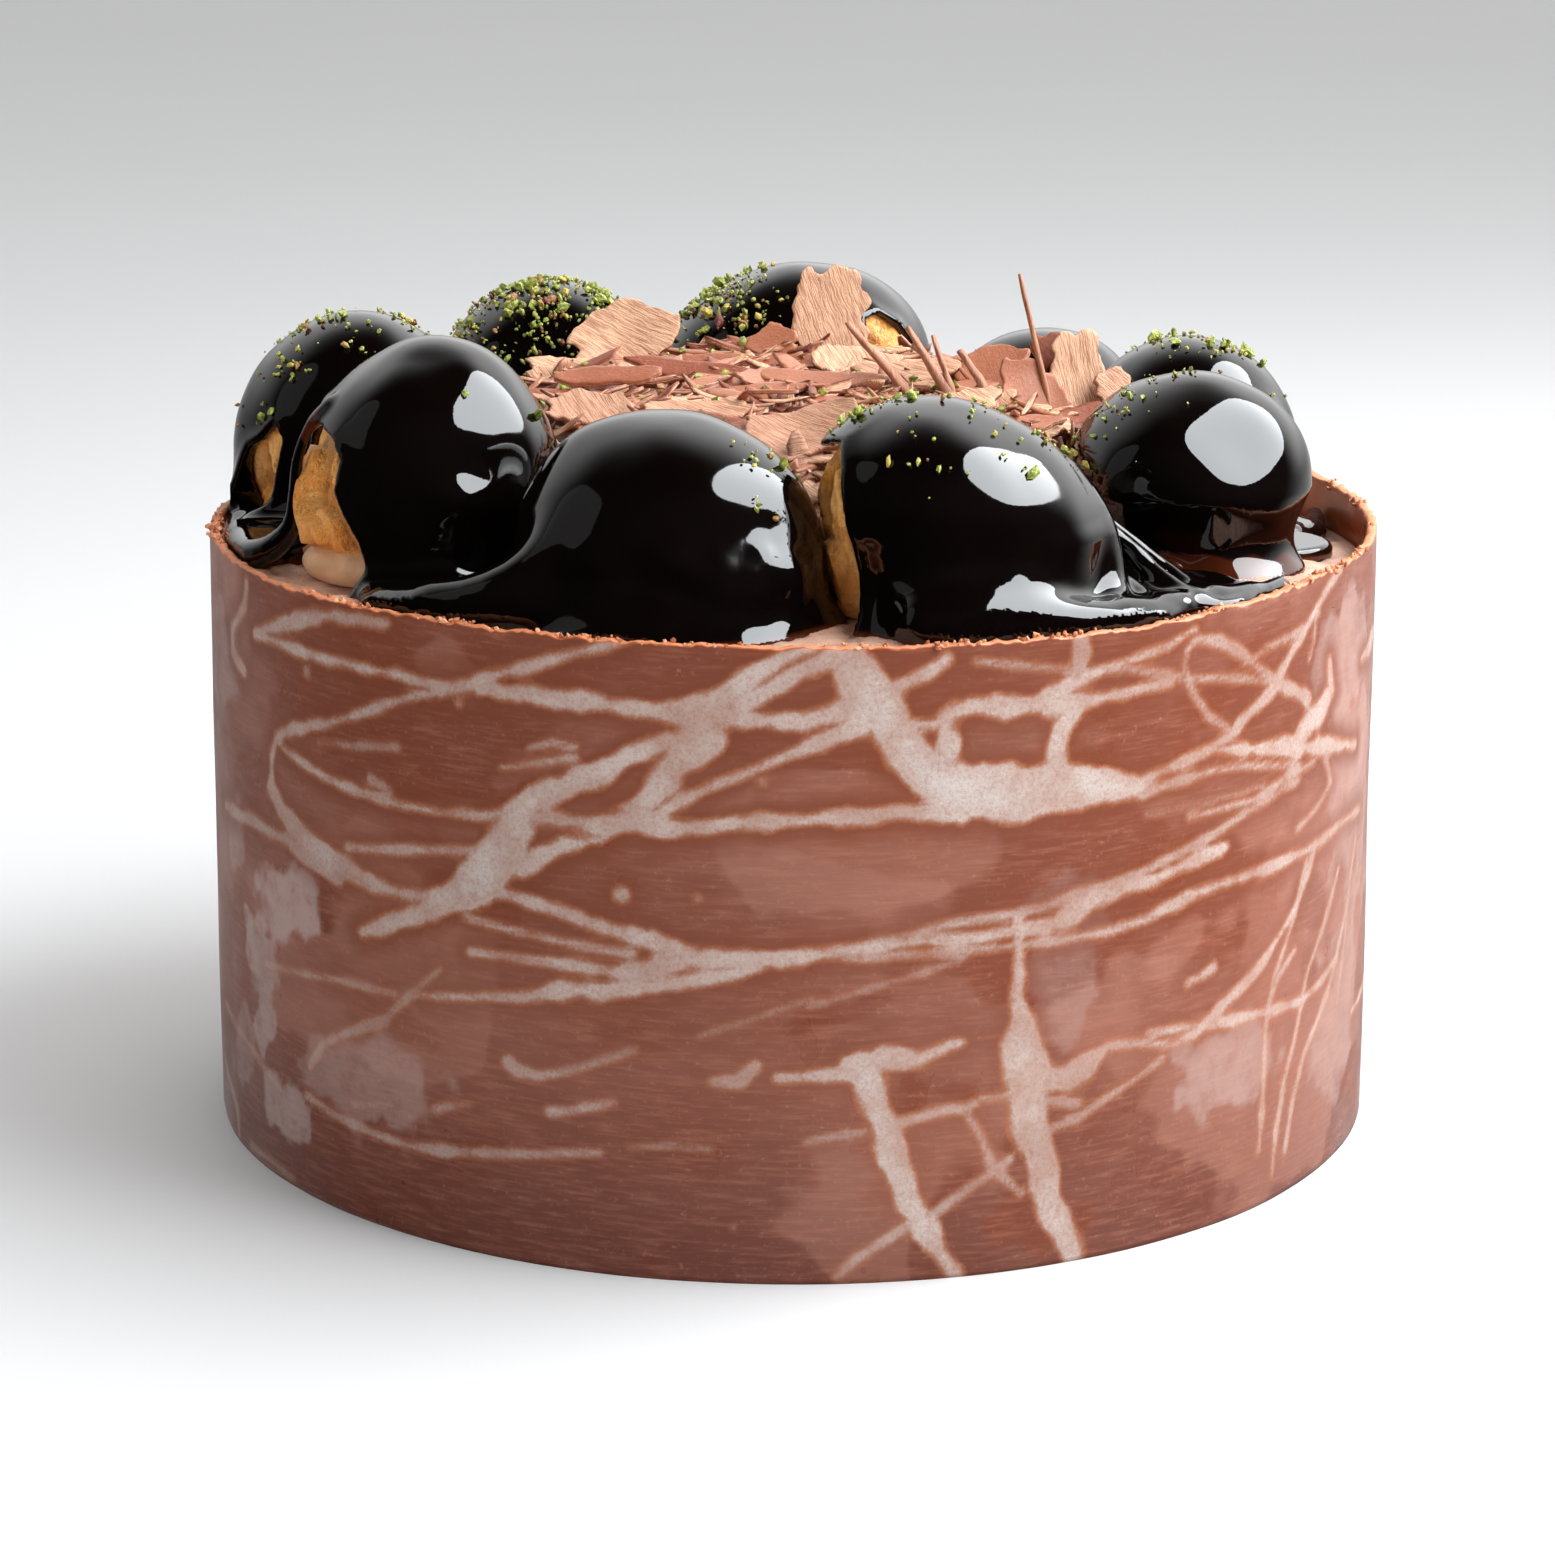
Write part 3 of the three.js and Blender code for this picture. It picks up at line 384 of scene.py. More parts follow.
# The shavings that stand out: middle, length, width, roll towards the front, tip up at the right
# end, turn about the upright, bend per millimetre, whether the scraped face is the one on top, how
# its grain is turned, and how rounded its corners are.
BIG_SHAVINGS = [
    (7.8, 46.5, 143.2, 16.5, 20.5, 72, -8, 0, 0.006, 1, 62, 0.25),
    (-33.4, 36.5, 140.2, 25, 17, 58, 7, 8, 0.012, 1, 38, 0.7),
    (-4.1, 37.5, 138.8, 12, 9, 62, 8, 0, 0.008, 0, 0, 0.8),
    (12.5, 22, 137.0, 19, 11, 30, -8, 0, 0.010, 1, 60, 0.3),
    (-6.5, 26, 135.8, 38, 8, 34, 1, -4, 0.003, 0, 0, 0.5),
    (1.5, -43.5, 135.0, 24, 17, 24, 10, 8, 0.016, 1, 50, 0.4),
    (-8.5, -41.0, 134.6, 18, 9, 20, 4, 14, 0.014, 0, 0, 0.4),
    (38.5, 14, 137.5, 17, 11, 44, 16, 4, 0.010, 0, 90, 0.5),
    (44.9, -2, 135.6, 17, 12, 60, -34, 0, 0.026, 0, 90, 0.5),
    (53.4, 5.5, 138.4, 12.5, 18, 72, -6, 14, 0.012, 1, 76, 0.3),
    (60.5, 3.0, 135.6, 9, 9, 60, 10, 30, 0.010, 1, 60, 0.4),
    (49.0, 10.0, 142.0, 8, 8, 66, 20, 10, 0.010, 0, 80, 0.2),
    (-34.8, 4, 137.4, 25, 6, 28, 3, 4, 0.004, 0, 0, 0.5),
    (-37.5, -18, 135.0, 19, 12, 26, -4, 10, 0.010, 1, 70, 0.4),
    (-20.0, 14.0, 137.0, 27, 6, 30, -3, -6, 0.005, 0, 0, 0.5),
    (22.0, 14.0, 136.8, 24, 7, 32, 4, 6, 0.006, 1, 30, 0.4),
    (5.0, 6.0, 136.4, 30, 7, 24, -2, -3, 0.005, 0, 0, 0.5),
    (30.0, -14.0, 135.4, 20, 9, 26, 5, 12, 0.008, 1, 60, 0.4),
    (-18.0, -22.0, 135.2, 24, 9, 22, 2, 6, 0.008, 1, 40, 0.4),
]
MIDDLING_SHAVINGS = 110

# Thin splinters, from the end in the bed to the free end, and thickness.
SPLINTERS = [
    ((51, -5, 122), (42.5, 4, 157.2), 1.7),
    ((25.5, 0, 131), (10.1, 8, 147.2), 2.5),
    ((32, -3, 131), (21.7, 8, 146.3), 2.5),
    ((31.5, 3, 131), (26.5, 10, 144.5), 1.8),
    ((41, -10, 129), (31.3, 0, 143.2), 2.8),
]

# Soft lights that face the cake: name, bearing, elevation, distance in metres, the two widths,
# colour, watts, and whether they show only as a gleam on what is glossy, or not in it at all.
COOL_WHITE = (0.93, 0.97, 1.0)
WHITE = (1, 1, 1)
LIGHTS = [
    ("key", 84, 46, 0.85, (0.95, 0.62), COOL_WHITE, 17.0, False),
    ("front", 48, 16, 1.7, (1.6, 1.0), WHITE, 13.5, False),
    ("left", -48, 20, 1.6, (1.2, 0.9), COOL_WHITE, 7.2, False),
    ("key_gloss", 86, 46, 0.80, (0.92, 0.60), COOL_WHITE, 17.5, True),
    ("fill_gloss", -80, 26, 0.9, (0.40, 0.70), WHITE, 0.20, True),
    ("ceiling", 0, 90, 4.0, (9.0, 9.0), WHITE, 86.0, False),
]
LIT_HEIGHT = 0.12  # of the place that they face, in metres

# ---- Small helpers ---------------------------------------------------------------------------


def smooth(low, high, value):
    """0 below low, 1 above high, with an even slope between."""
    share = np.clip((value - low) / (high - low), 0, 1)
    return share * share * (3 - 2 * share)


def mix(a, b, share):
    """a where share is 0, b where it is 1."""
    return a + (b - a) * share


def on_cake(bearing, out):
    """x and y of a place at a bearing and a distance from the axis."""
    angle = math.radians(bearing)
    return out * math.sin(angle), -out * math.cos(angle)


def bearing_of(x, y):
    return np.degrees(np.arctan2(x, -y))


def axes_at(bearing):
    """Unit steps outwards and round the cake at a bearing."""
    return on_cake(bearing, 1.0), on_cake(bearing + 90, 1.0)


def along_axes(dx, dy, axes):
    """How far a step goes outwards and round the cake."""
    (ox, oy), (ax, ay) = axes
    return dx * ox + dy * oy, dx * ax + dy * ay


def round_collar(bearing):
    """How far round the outside of the collar a bearing is, in millimetres."""
    return np.radians(bearing) * COLLAR_RADIUS


def full_turn(count):
    """Angles evenly spaced once round, in radians."""
    return np.linspace(0, 2 * math.pi, count, endpoint=False)


def nearness(x, y, z, spot, reach):
    """Square of the distance to a spot, in units of its reach."""
    sx, sy, sz = spot
    return ((x - sx) ** 2 + (y - sy) ** 2 + (z - sz) ** 2) / reach**2


def speckle(x, y, z, size, seed):
    """Smooth noise from -1 to 1, with features of that size."""
    places = [np.asarray(v, np.float64) / size + 1000.0 for v in (x, y, z)]
    cells = [np.floor(v).astype(np.int64) for v in places]
    parts = [v - c for v, c in zip(places, cells)]
    parts = [p * p * (3 - 2 * p) for p in parts]
    total = 0.0
    for corner in itertools.product((0, 1), repeat=3):
        a, b, c = (cell + step for cell, step in zip(cells, corner))
        mixed = (a * 73856093) ^ (b * 19349663) ^ (c * 83492791) ^ (seed * 961748941)
        mixed = ((mixed ^ (mixed >> 13)) * 1274126177) & 0xFFFFFFFF
        mixed = ((mixed ^ (mixed >> 15)) * 668265263) & 0xFFFFFFFF
        value = ((mixed ^ (mixed >> 16)) & 0xFFFF) / 65535.0
        weight = 1.0
        for part, step in zip(parts, corner):
            weight = weight * (part if step else 1 - part)
        total = total + value * weight
    return total * 2 - 1


def cloud(x, y, z, size, seed, layers=3):
    """Noise from about -1 to 1 that also has finer and finer detail."""
    total = sum(speckle(x, y, z, size / 2**k, seed + k) / 2**k for k in range(layers))
    return total / sum(1 / 2**k for k in range(layers)) * 1.6


def creases(x, y, z, size, seed, layers=2):
    """Noise from 0 to 1 with sharp valleys at 0, like cracks."""
    total = sum(abs(speckle(x, y, z, size / 2**k, seed + k)) / 2**k for k in range(layers))
    return np.clip(total / sum(1 / 2**k for k in range(layers)) * 1.6, 0, 1)


def dice(seed):
    """A repeatable stream of numbers from 0 to 1."""
    state = seed
    while True:
        state = (state * 1664525 + 1013904223) & 0xFFFFFFFF
        yield state / 4294967296.0


def lumps(seed, waves=(1, 2, 3, 5)):
    """A gentle wave round a circle, from -1 to 1, that differs with the seed."""
    roll = dice(seed)
    parts = []
    for n in waves:
        phase = next(roll) * 2 * math.pi
        parts.append((n, phase, (0.5 + next(roll)) / n**0.6))
    total = sum(size for _, _, size in parts)
    return lambda angle: sum(s * np.sin(n * angle + p) for n, p, s in parts) / total


def blend_union(a, b, reach):
    """The nearer of two distances, with the corner between them filled over that reach."""
    share = np.clip(0.5 + 0.5 * (b - a) / reach, 0, 1)
    return b * (1 - share) + a * share - reach * share * (1 - share)


def blend_cut(a, b, reach):
    """What is left of shape a outside shape b, with a rounded edge."""
    return -blend_union(-a, b, reach)


def cream_top(x, y):
    """Height of the mousse at a point of the cake."""
    out = np.hypot(x, y)
    off = np.abs((bearing_of(x, y) - CREAM_DIP_BEARING + 180) % 360 - 180)
    sector = np.where(off < CREAM_DIP_SPREAD, (1 + np.cos(np.pi * off / CREAM_DIP_SPREAD)) / 2, 0)
    return CREAM_TOP - CREAM_DIP * sector * smooth(45, 100, out)


def bed_top(x, y):
    """Height of the bed of shavings."""
    out = np.hypot(x, y)
    level = mix(BED_MIDDLE, BED_EDGE, smooth(0, BED_SHOULDER, out)) + BED_RISE * y
    return mix(level, CREAM_TOP, smooth(BED_SHOULDER, BED_RADIUS, out))


# ---- Making meshes ---------------------------------------------------------------------------


def mesh_from(name, points, faces, fields=None, normals=None, flat=False):
    """A mesh from points in millimetres, lists of faces with the same number of corners, and
    fields, which are numbers kept at each point for the materials."""
    mesh = bpy.data.meshes.new(name)
    points = np.asarray(points, np.float64)
    faces = [np.asarray(f, np.int32) for f in faces if len(f)]
    corners = np.concatenate([f.ravel() for f in faces])
    sizes = np.concatenate([np.full(len(f), f.shape[1]) for f in faces])
    starts = np.concatenate([[0], np.cumsum(sizes)[:-1]]).astype(np.int32)
    mesh.vertices.add(len(points))
    mesh.vertices.foreach_set("co", (points * MM).astype(np.float32).ravel())
    mesh.loops.add(len(corners))
    mesh.loops.foreach_set("vertex_index", corners)
    mesh.polygons.add(len(sizes))
    mesh.polygons.foreach_set("loop_start", starts)
    mesh.update(calc_edges=True)
    mesh.polygons.foreach_set("use_smooth", np.full(len(sizes), not flat))
    for field, values in (fields or {}).items():
        made = mesh.attributes.new(field, "FLOAT", "POINT")
        made.data.foreach_set("value", np.asarray(values, np.float32))
    if normals is not None:
        mesh.normals_split_custom_set_from_vertices(np.asarray(normals, np.float32))
    mesh.validate()
    return mesh


def make_piece(name, mesh, finish, slot=None, stands_for=()):
    """Puts a mesh in the scene as a piece of the cake."""
    piece = bpy.data.objects.new(name, mesh)
    bpy.context.scene.collection.objects.link(piece)
    mesh.name = name
    if finish is not None and not mesh.materials:
        mesh.materials.append(finish)
    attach(piece, "root")
    if stands_for:
        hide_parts(*stands_for)
    return piece


def neighbours(around):
    """The numbers of the points of a ring, and those of the next point along."""
    here = np.arange(around)
    return here, (here + 1) % around


def ring_faces(rows, around):
    """Quads between rings of points, each ring with the same number, anticlockwise from above,
    the rings in order from the outside bottom upwards."""
    j, k = neighbours(around)
    starts = [row * around for row in range(rows)]
    quads = [np.stack([a + j, a + k, b + k, b + j], axis=1) for a, b in zip(starts, starts[1:])]
    return np.concatenate(quads)


def capped_skin(rings, top, bottom):
    """A closed skin from rings ordered from the bottom to the top, with a point at each end."""
    count, around = len(rings), len(rings[0])
    points = np.concatenate([np.concatenate(rings), [top], [bottom]])
    j, k = neighbours(around)
    last = (count - 1) * around
    tip, foot = count * around, count * around + 1
    caps = np.concatenate(
        [
            np.stack([last + j, last + k, np.full(around, tip)], axis=1),
            np.stack([k, j, np.full(around, foot)], axis=1),
        ]
    )
    return points, [ring_faces(count, around), caps]


def ring_at(radius, angle, height):
    """A circle of points round the axis, at a height or lying on a surface, given as a function."""
    x, y = radius * np.cos(angle), radius * np.sin(angle)
    z = height(x, y) if callable(height) else np.full(len(angle), height)
    return np.stack([x, y, z], axis=1)


def stand_on_cream(points):
    """Lifts the points that would sink into the cream."""
    top = cream_top(points[:, 0], points[:, 1]) + CREAM_GAP
    points[:, 2] = np.maximum(points[:, 2], top)


# ---- Materials -------------------------------------------------------------------------------


class Nodes:
    """Adds nodes to a tree. Each step adds one node and returns its output."""

    def __init__(self, tree):
        self.tree = tree

    def node(self, kind, inputs=None, output=0, **settings):
        made = self.tree.nodes.new(kind)
        for name, value in settings.items():
            setattr(made, name, value)
        for key, value in (inputs or {}).items():
            self.feed(made.inputs[key], value)
        return made.outputs[output]

    def feed(self, socket, value):
        if isinstance(value, bpy.types.NodeSocket):
            self.tree.links.new(value, socket)
        else:
            socket.default_value = value

    def ramp(self, value, low, high, to_low=0.0, to_high=1.0):
        """Moves value from the range low..high to to_low..to_high, smoothly and clamped."""
        return self.node(
            "ShaderNodeMapRange",
            {"Value": value, "From Min": low, "From Max": high, "To Min": to_low, "To Max": to_high},
            interpolation_type="SMOOTHSTEP",
        )

    def math(self, operation, a, b=0.0):
        return self.node("ShaderNodeMath", {0: a, 1: b}, operation=operation)

    def times(self, a, b):
        return self.math("MULTIPLY", a, b)


class Finish(Nodes):
    """A material under construction."""

    def __init__(self, name, **shader):
        self.material = bpy.data.materials.new(name)
        self.material.use_nodes = True
        super().__init__(self.material.node_tree)
        self.shader = next(n for n in self.tree.nodes if n.type == "BSDF_PRINCIPLED")
        for socket, value in shader.items():
            self.shader.inputs[socket.replace("_", " ")].default_value = value
        self.place = self.tree.nodes.new("ShaderNodeTexCoord").outputs["Object"]

    def field(self, name):
        return self.node("ShaderNodeAttribute", output="Fac", attribute_name=name)

    def stretched(self, x, y, z):
        return self.node("ShaderNodeMapping", {"Vector": self.place, "Scale": (x, y, z)})

    def noise(self, scale, detail=3.0, rough=0.55, place=None):
        """Noise from 0 to 1; scale is in features to the metre."""
        return self.node(
            "ShaderNodeTexNoise",
            {"Vector": place or self.place, "Scale": scale, "Detail": detail, "Roughness": rough},
        )

    def blend(self, share, a, b):
        """Colour a where share is 0 and colour b where it is 1."""
        a, b = (c if isinstance(c, bpy.types.NodeSocket) else (*c, 1.0) for c in (a, b))
        # The colour sockets share their names with others, so they go by number.
        inputs = {"Factor": share, 6: a, 7: b}
        return self.node("ShaderNodeMix", inputs, output=2, data_type="RGBA", blend_type="MIX")

    def over(self, colour, mask, amount, paint):
        """Paint laid over a colour where the mask is 1, as strongly as the amount says."""
        return self.blend(self.times(mask, amount), colour, paint)

    def relief(self, height, depth, below=None):
        """Bump; depth is in millimetres."""
        inputs = {"Height": height, "Strength": 1.0, "Distance": depth * MM}
        if below is not None:
            inputs["Normal"] = below
        return self.node("ShaderNodeBump", inputs)

    def done(self, colour=None, rough=None, normal=None):
        for socket, value in (("Base Color", colour), ("Roughness", rough), ("Normal", normal)):
            if value is not None:
                self.feed(self.shader.inputs[socket], value)
        return self.material


# ---- Profiteroles and their glaze ------------------------------------------------------------


class Puff:
    """Where one profiterole sits, and how far points are from its pastry."""

    def __init__(self, index):
        self.index = index
        (self.at, self.out, self.wide, self.deep, self.crown, self.spread, self.nose,
         self.lean, self.widest, self.tuck) = PUFFS[index]
        self.x, self.y = on_cake(self.at, self.out)
        self.floor = float(cream_top(self.x, self.y))
        self.tall = self.crown - self.floor
        self.belly = self.floor + self.widest * self.tall
        self.axes = axes_at(self.at)
        self.wave = lumps(31 + index)
        self.lobes = lumps(71 + index, (2, 3, 4, 7))
        self.patches = [outline for puff, outline in BARE if puff == index]

    def turned(self, x, y):
        """Distances outwards and round the cake from the middle of the puff."""
        return along_axes(x - self.x, y - self.y, self.axes)

    def waist(self, z):
        """How much of its width is left at a height below the belly."""
        down = np.clip((self.belly - z) / (self.belly - self.floor), 0, 1)
        return 1 - 0.46 * self.tuck * down**1.3

    def distance(self, x, y, z):
        """Distance to the pastry, negative inside."""
        u, v = self.turned(x, y)
        above = z > self.belly
        upright = np.where(above, self.crown - self.belly, 2 * (self.belly - self.floor))
        up = (z - self.belly) / upright
        lift = np.clip(up, 0, 1)
        u = u - self.lean * lift
        v = v - self.nose * lift
        a, b = self.deep / 2, self.wide / 2
        size = (1 + PUFF_LUMPS * self.wave(np.arctan2(v / b, u / a))) * self.waist(z)
        return oval_distance(u, v, a * size, b * size, up, upright)

    def skirt(self, x, y, z):
        """Distance to the glaze below the belly, which runs down and spreads over the cream."""
        u, v = self.turned(x, y)
        angle = np.arctan2(v, u)
        size = 1 + PUFF_LUMPS * self.wave(np.arctan2(v / self.wide, u / self.deep))
        size = size * self.waist(z)
        above = np.maximum(z - self.floor, 0)
        share = np.exp(-((above / SKIRT_RISE) ** 1.2))
        spread = self.spread * (1 + 0.6 * self.lobes(angle)) * share
        a, b = self.deep / 2 * size + spread, self.wide / 2 * size + spread
        return oval_distance(u, v, a, b)

    def bare(self, x, y, z):
        """Distance to the nearest bare patch, measured over the skin of the puff."""
        if not self.patches:
            return np.full(np.broadcast(x, y, z).shape, FAR)
        reach = (self.wide + self.deep) / 4
        bearing = bearing_of(x - self.x, y - self.y)
        nearest = FAR
        for outline in self.patches:
            middle = sum(b for b, _ in outline) / len(outline)
            turn = (bearing - middle + 180) % 360 - 180
            points = [(math.radians(b - middle) * reach, h) for b, h in outline]
            found = outline_distance(np.radians(turn) * reach, z, points)
            nearest = np.minimum(nearest, found)
        return nearest

    def set_back(self, x, y, z):
        """How far the pastry lies behind its smooth form: not at all where it is bare."""
        return UNDER_GLAZE * smooth(0.2, 3.6, self.bare(x, y, z))


def oval_distance(u, v, a, b, up=0.0, upright=1.0):
    """About how far a point is from an oval of half widths a and b, negative inside. For an egg,
    up is the height above its middle as a share of its half height, upright."""
    k0 = np.sqrt((u / a) ** 2 + (v / b) ** 2 + up**2) + 1e-9
    k1 = np.sqrt((u / a**2) ** 2 + (v / b**2) ** 2 + (up / upright) ** 2) + 1e-9
    return k0 * (k0 - 1) / k1


def outline_distance(s, h, points):
    """Distance to a closed outline in a plane, negative inside."""
    nearest = np.inf
    inside = np.ones(np.broadcast(s, h).shape)
    for (s0, h0), (s1, h1) in zip(points, points[1:] + points[:1]):
        ds, dh = s1 - s0, h1 - h0
        share = np.clip(((s - s0) * ds + (h - h0) * dh) / (ds * ds + dh * dh), 0, 1)
        nearest = np.minimum(nearest, (s - s0 - ds * share) ** 2 + (h - h0 - dh * share) ** 2)
        side = (s - s0) * dh - (h - h0) * ds
        up = (h >= h0) & (h < h1) & (side < 0)
        down = (h < h0) & (h >= h1) & (side > 0)
        inside = np.where(up | down, -inside, inside)
    return np.sqrt(nearest) * inside


def slab(flat, z, floor, thick, rounding=1.5):
    """A pool: a distance to its outline in plan made into a layer with a rounded top edge."""
    across = flat + rounding
    up = z - (floor + thick) + rounding
    outside = np.sqrt(np.maximum(across, 0) ** 2 + np.maximum(up, 0) ** 2)
    return np.minimum(np.maximum(across, up), 0) + outside - rounding


def eased(points, steps=3):
    """More points, on a smooth curve through the given ones."""
    found = [points[0]]
    ends = [points[0], *points, points[-1]]
    for a, b, c, d in zip(ends, ends[1:], ends[2:], ends[3:]):
        for i in range(1, steps + 1):
            t = i / steps
            found.append(tuple(
                q + 0.5 * t * (r - p + t * (2 * p - 5 * q + 4 * r - s + t * (3 * q - p - 3 * r + s)))
                for p, q, r, s in zip(a, b, c, d)
            ))
    return found


def run_distance(x, y, z, points):
    """Distance to a thick run that follows the points."""
    nearest = FAR
    for (x0, y0, z0, r0), (x1, y1, z1, r1) in zip(points, points[1:]):
        dx, dy, dz = x1 - x0, y1 - y0, z1 - z0
        share = ((x - x0) * dx + (y - y0) * dy + (z - z0) * dz) / (dx * dx + dy * dy + dz * dz)
        share = np.clip(share, 0, 1)
        off = np.sqrt(
            (x - x0 - dx * share) ** 2 + (y - y0 - dy * share) ** 2 + (z - z0 - dz * share) ** 2
        )
        nearest = np.minimum(nearest, off - mix(r0, r1, share))
    return nearest


def bump_sum(x, y, z, bumps):
    """The height that the swellings and dents add at a point."""
    total = 0.0
    for *spot, reach, height in bumps:
        total = total + height * np.exp(-nearness(x, y, z, spot, reach))
    return total


ALL_PUFFS = [Puff(i) for i in range(len(PUFFS))]


def pour_distance(name, x, y, z):
    """Distance to the outside of one pour of glaze, before pastry, cream and wall are cut off."""
    members, puddles = POURS[name]
    wave = cloud(x, y, z, 15.0, 401, layers=2)
    total = None
    for index in members:
        puff = ALL_PUFFS[index]
        bare = puff.bare(x, y, z)
        low = 1 - smooth(0, 0.5, (z - puff.floor) / puff.tall)
        coat = COAT + 0.45 * wave + 0.5 * low + 0.7 * np.exp(-((bare / 2.2) ** 2))
        over = smooth(-3.0, 3.0, z - puff.belly)
        dome = mix(puff.skirt(x, y, z), puff.distance(x, y, z), over) - coat
        dome = blend_cut(dome, bare, 1.3)
        total = dome if total is None else blend_union(total, dome, 6.0)
    for at, out, round_half, outward_half in puddles:
        px, py = on_cake(at, out)
        u, v = along_axes(x - px, y - py, axes_at(at))
        flat = oval_distance(u, v, outward_half, round_half)
        pool = slab(flat, z, float(cream_top(px, py)), POOL * 0.8)
        total = blend_union(total, pool, 5.0)
    for points in RUNS[name]:
        thick = sum(radius for *_, radius in points) / len(points)
        total = blend_union(total, run_distance(x, y, z, eased(points)), 0.8 + 1.3 * thick)
    total = total - bump_sum(x, y, z, SWELLINGS)
    for *spot, reach, depth, size in WRINKLES:
        near = nearness(x, y, z, spot, reach)
        if np.min(near) < 6:
            folds = speckle(x, y, z * 0.6, size, 431) * np.exp(-near)
            total = total - depth * folds
    return total


def glaze_distance(name, x, y, z, earlier):
    """Distance to one finished pour: hollow where the pastry is, and flat on the cream."""
    total = pour_distance(name, x, y, z)
    for index in POURS[name][0]:
        puff = ALL_PUFFS[index]
        total = np.maximum(total, PASTRY_GAP - puff.set_back(x, y, z) - puff.distance(x, y, z))
    for other in earlier:
        total = np.maximum(total, POUR_GAP - pour_distance(other, x, y, z))
    total = np.maximum(total, cream_top(x, y) - POUR_SINK - z)
    return np.maximum(total, np.hypot(x, y) - (INSIDE_COLLAR - CHOCOLATE_GAP))


def pour_box(name):
    """Corners of the box round one pour."""
    low, high = np.full(3, np.inf), np.full(3, -np.inf)
    for index in POURS[name][0]:
        puff = ALL_PUFFS[index]
        half = max(puff.wide, puff.deep) / 2 + puff.spread * 1.6 + 5
        low = np.minimum(low, [puff.x - half, puff.y - half, puff.floor - 2])
        high = np.maximum(high, [puff.x + half, puff.y + half, puff.crown + 4])
    for at, out, round_half, outward_half in POURS[name][1]:
        px, py = on_cake(at, out)
        half = max(round_half, outward_half) + 2
        low[:2] = np.minimum(low[:2], [px - half, py - half])
        high[:2] = np.maximum(high[:2], [px + half, py + half])
    return np.maximum(low, POUR_LIMITS[0]), np.minimum(high, POUR_LIMITS[1])


def glaze_mesh(name, earlier):
    """Fills a grid with distances to the pour, and draws its skin where they pass zero."""
    low, high = pour_box(name)
    nearby = [p for p in earlier if boxes_meet(pour_box(p), (low, high))]

    def distance(x, y, z):
        return glaze_distance(name, x, y, z, nearby)

    # First a coarse grid, then the fine one only near the skin.
    stride = GLAZE_GRID * COARSE
    counts = np.ceil((high - low) / stride).astype(int) + 1
    axes = [low[i] + stride * (np.arange(counts[i]) + 0.5) for i in range(3)]
    places = np.stack(np.meshgrid(*axes, indexing="ij"), axis=-1).reshape(-1, 3)
    coarse = distance(*places.T).reshape(counts)
    close = np.abs(coarse) < stride * 1.5
    values = np.where(coarse < 0, -GRID_BAND, GRID_BAND).astype(np.float32)
    for axis in range(3):
        close = np.repeat(close, COARSE, axis=axis)
        values = np.repeat(values, COARSE, axis=axis)
    places = low + (np.argwhere(close) + 0.5) * GLAZE_GRID
    values[close] = np.clip(distance(*places.T), -GRID_BAND, GRID_BAND)
    low = low + 0.5 * GLAZE_GRID
    grid = openvdb.FloatGrid()
    grid.background = GRID_BAND
    grid.copyFromArray(values)
    points, triangles, quads = grid.convertToPolygons(isovalue=0.0, adaptivity=0.0)
    points = low + points.astype(np.float64) * GLAZE_GRID
    points, normals = settle(points, distance)
    if skin_volume(points, quads) < 0:
        quads = quads[:, ::-1]
        triangles = triangles[:, ::-1]
    thin = glaze_thickness(name, points)
    # Crumbs stay only where the glaze has some depth and doesn't face down.
    nuts = nut_chance(points) * (thin > 0.6) * (normals[:, 2] > 0.05)
    fields = {"thin": thin, "chance": nuts}
    return mesh_from(name, points, [triangles, quads], fields, normals)


def boxes_meet(a, b):
    return bool(np.all(a[0] < b[1]) and np.all(b[0] < a[1]))


def settle(points, distance, step=0.05):
    """Moves points onto the surface and returns them with its normals."""
    for _ in range(2):
        x, y, z = points.T
        here = distance(x, y, z)
        slope = np.stack(
            [
                distance(x + step, y, z) - distance(x - step, y, z),
                distance(x, y + step, z) - distance(x, y - step, z),
                distance(x, y, z + step) - distance(x, y, z - step),
            ],
            axis=1,
        ) / (2 * step)
        length = np.linalg.norm(slope, axis=1, keepdims=True) + 1e-6
        normals = slope / length
        move = np.clip(here[:, None] / length, -GLAZE_GRID * 0.5, GLAZE_GRID * 0.5)
        points = points - normals * move
    return points, normals


def skin_volume(points, quads):
    """Signed volume inside a skin of quads, to tell which way they face."""
    a, b, c, d = (points[quads[:, i]] - points.mean(axis=0) for i in range(4))
    return float(np.sum(np.cross(a, b) * c) + np.sum(np.cross(a, c) * d)) / 6


def glaze_thickness(name, points):
    """How much glaze lies between a point of its skin and the pastry or cream under it."""
    x, y, z = points.T
    under = z - cream_top(x, y)
    for index in POURS[name][0]:
        puff = ALL_PUFFS[index]
        under = np.minimum(under, puff.distance(x, y, z) + puff.set_back(x, y, z))
    for *spot, reach in THIN_SPOTS:
        under = under - THIN_DEPTH * np.exp(-nearness(x, y, z, spot, reach))
    return under


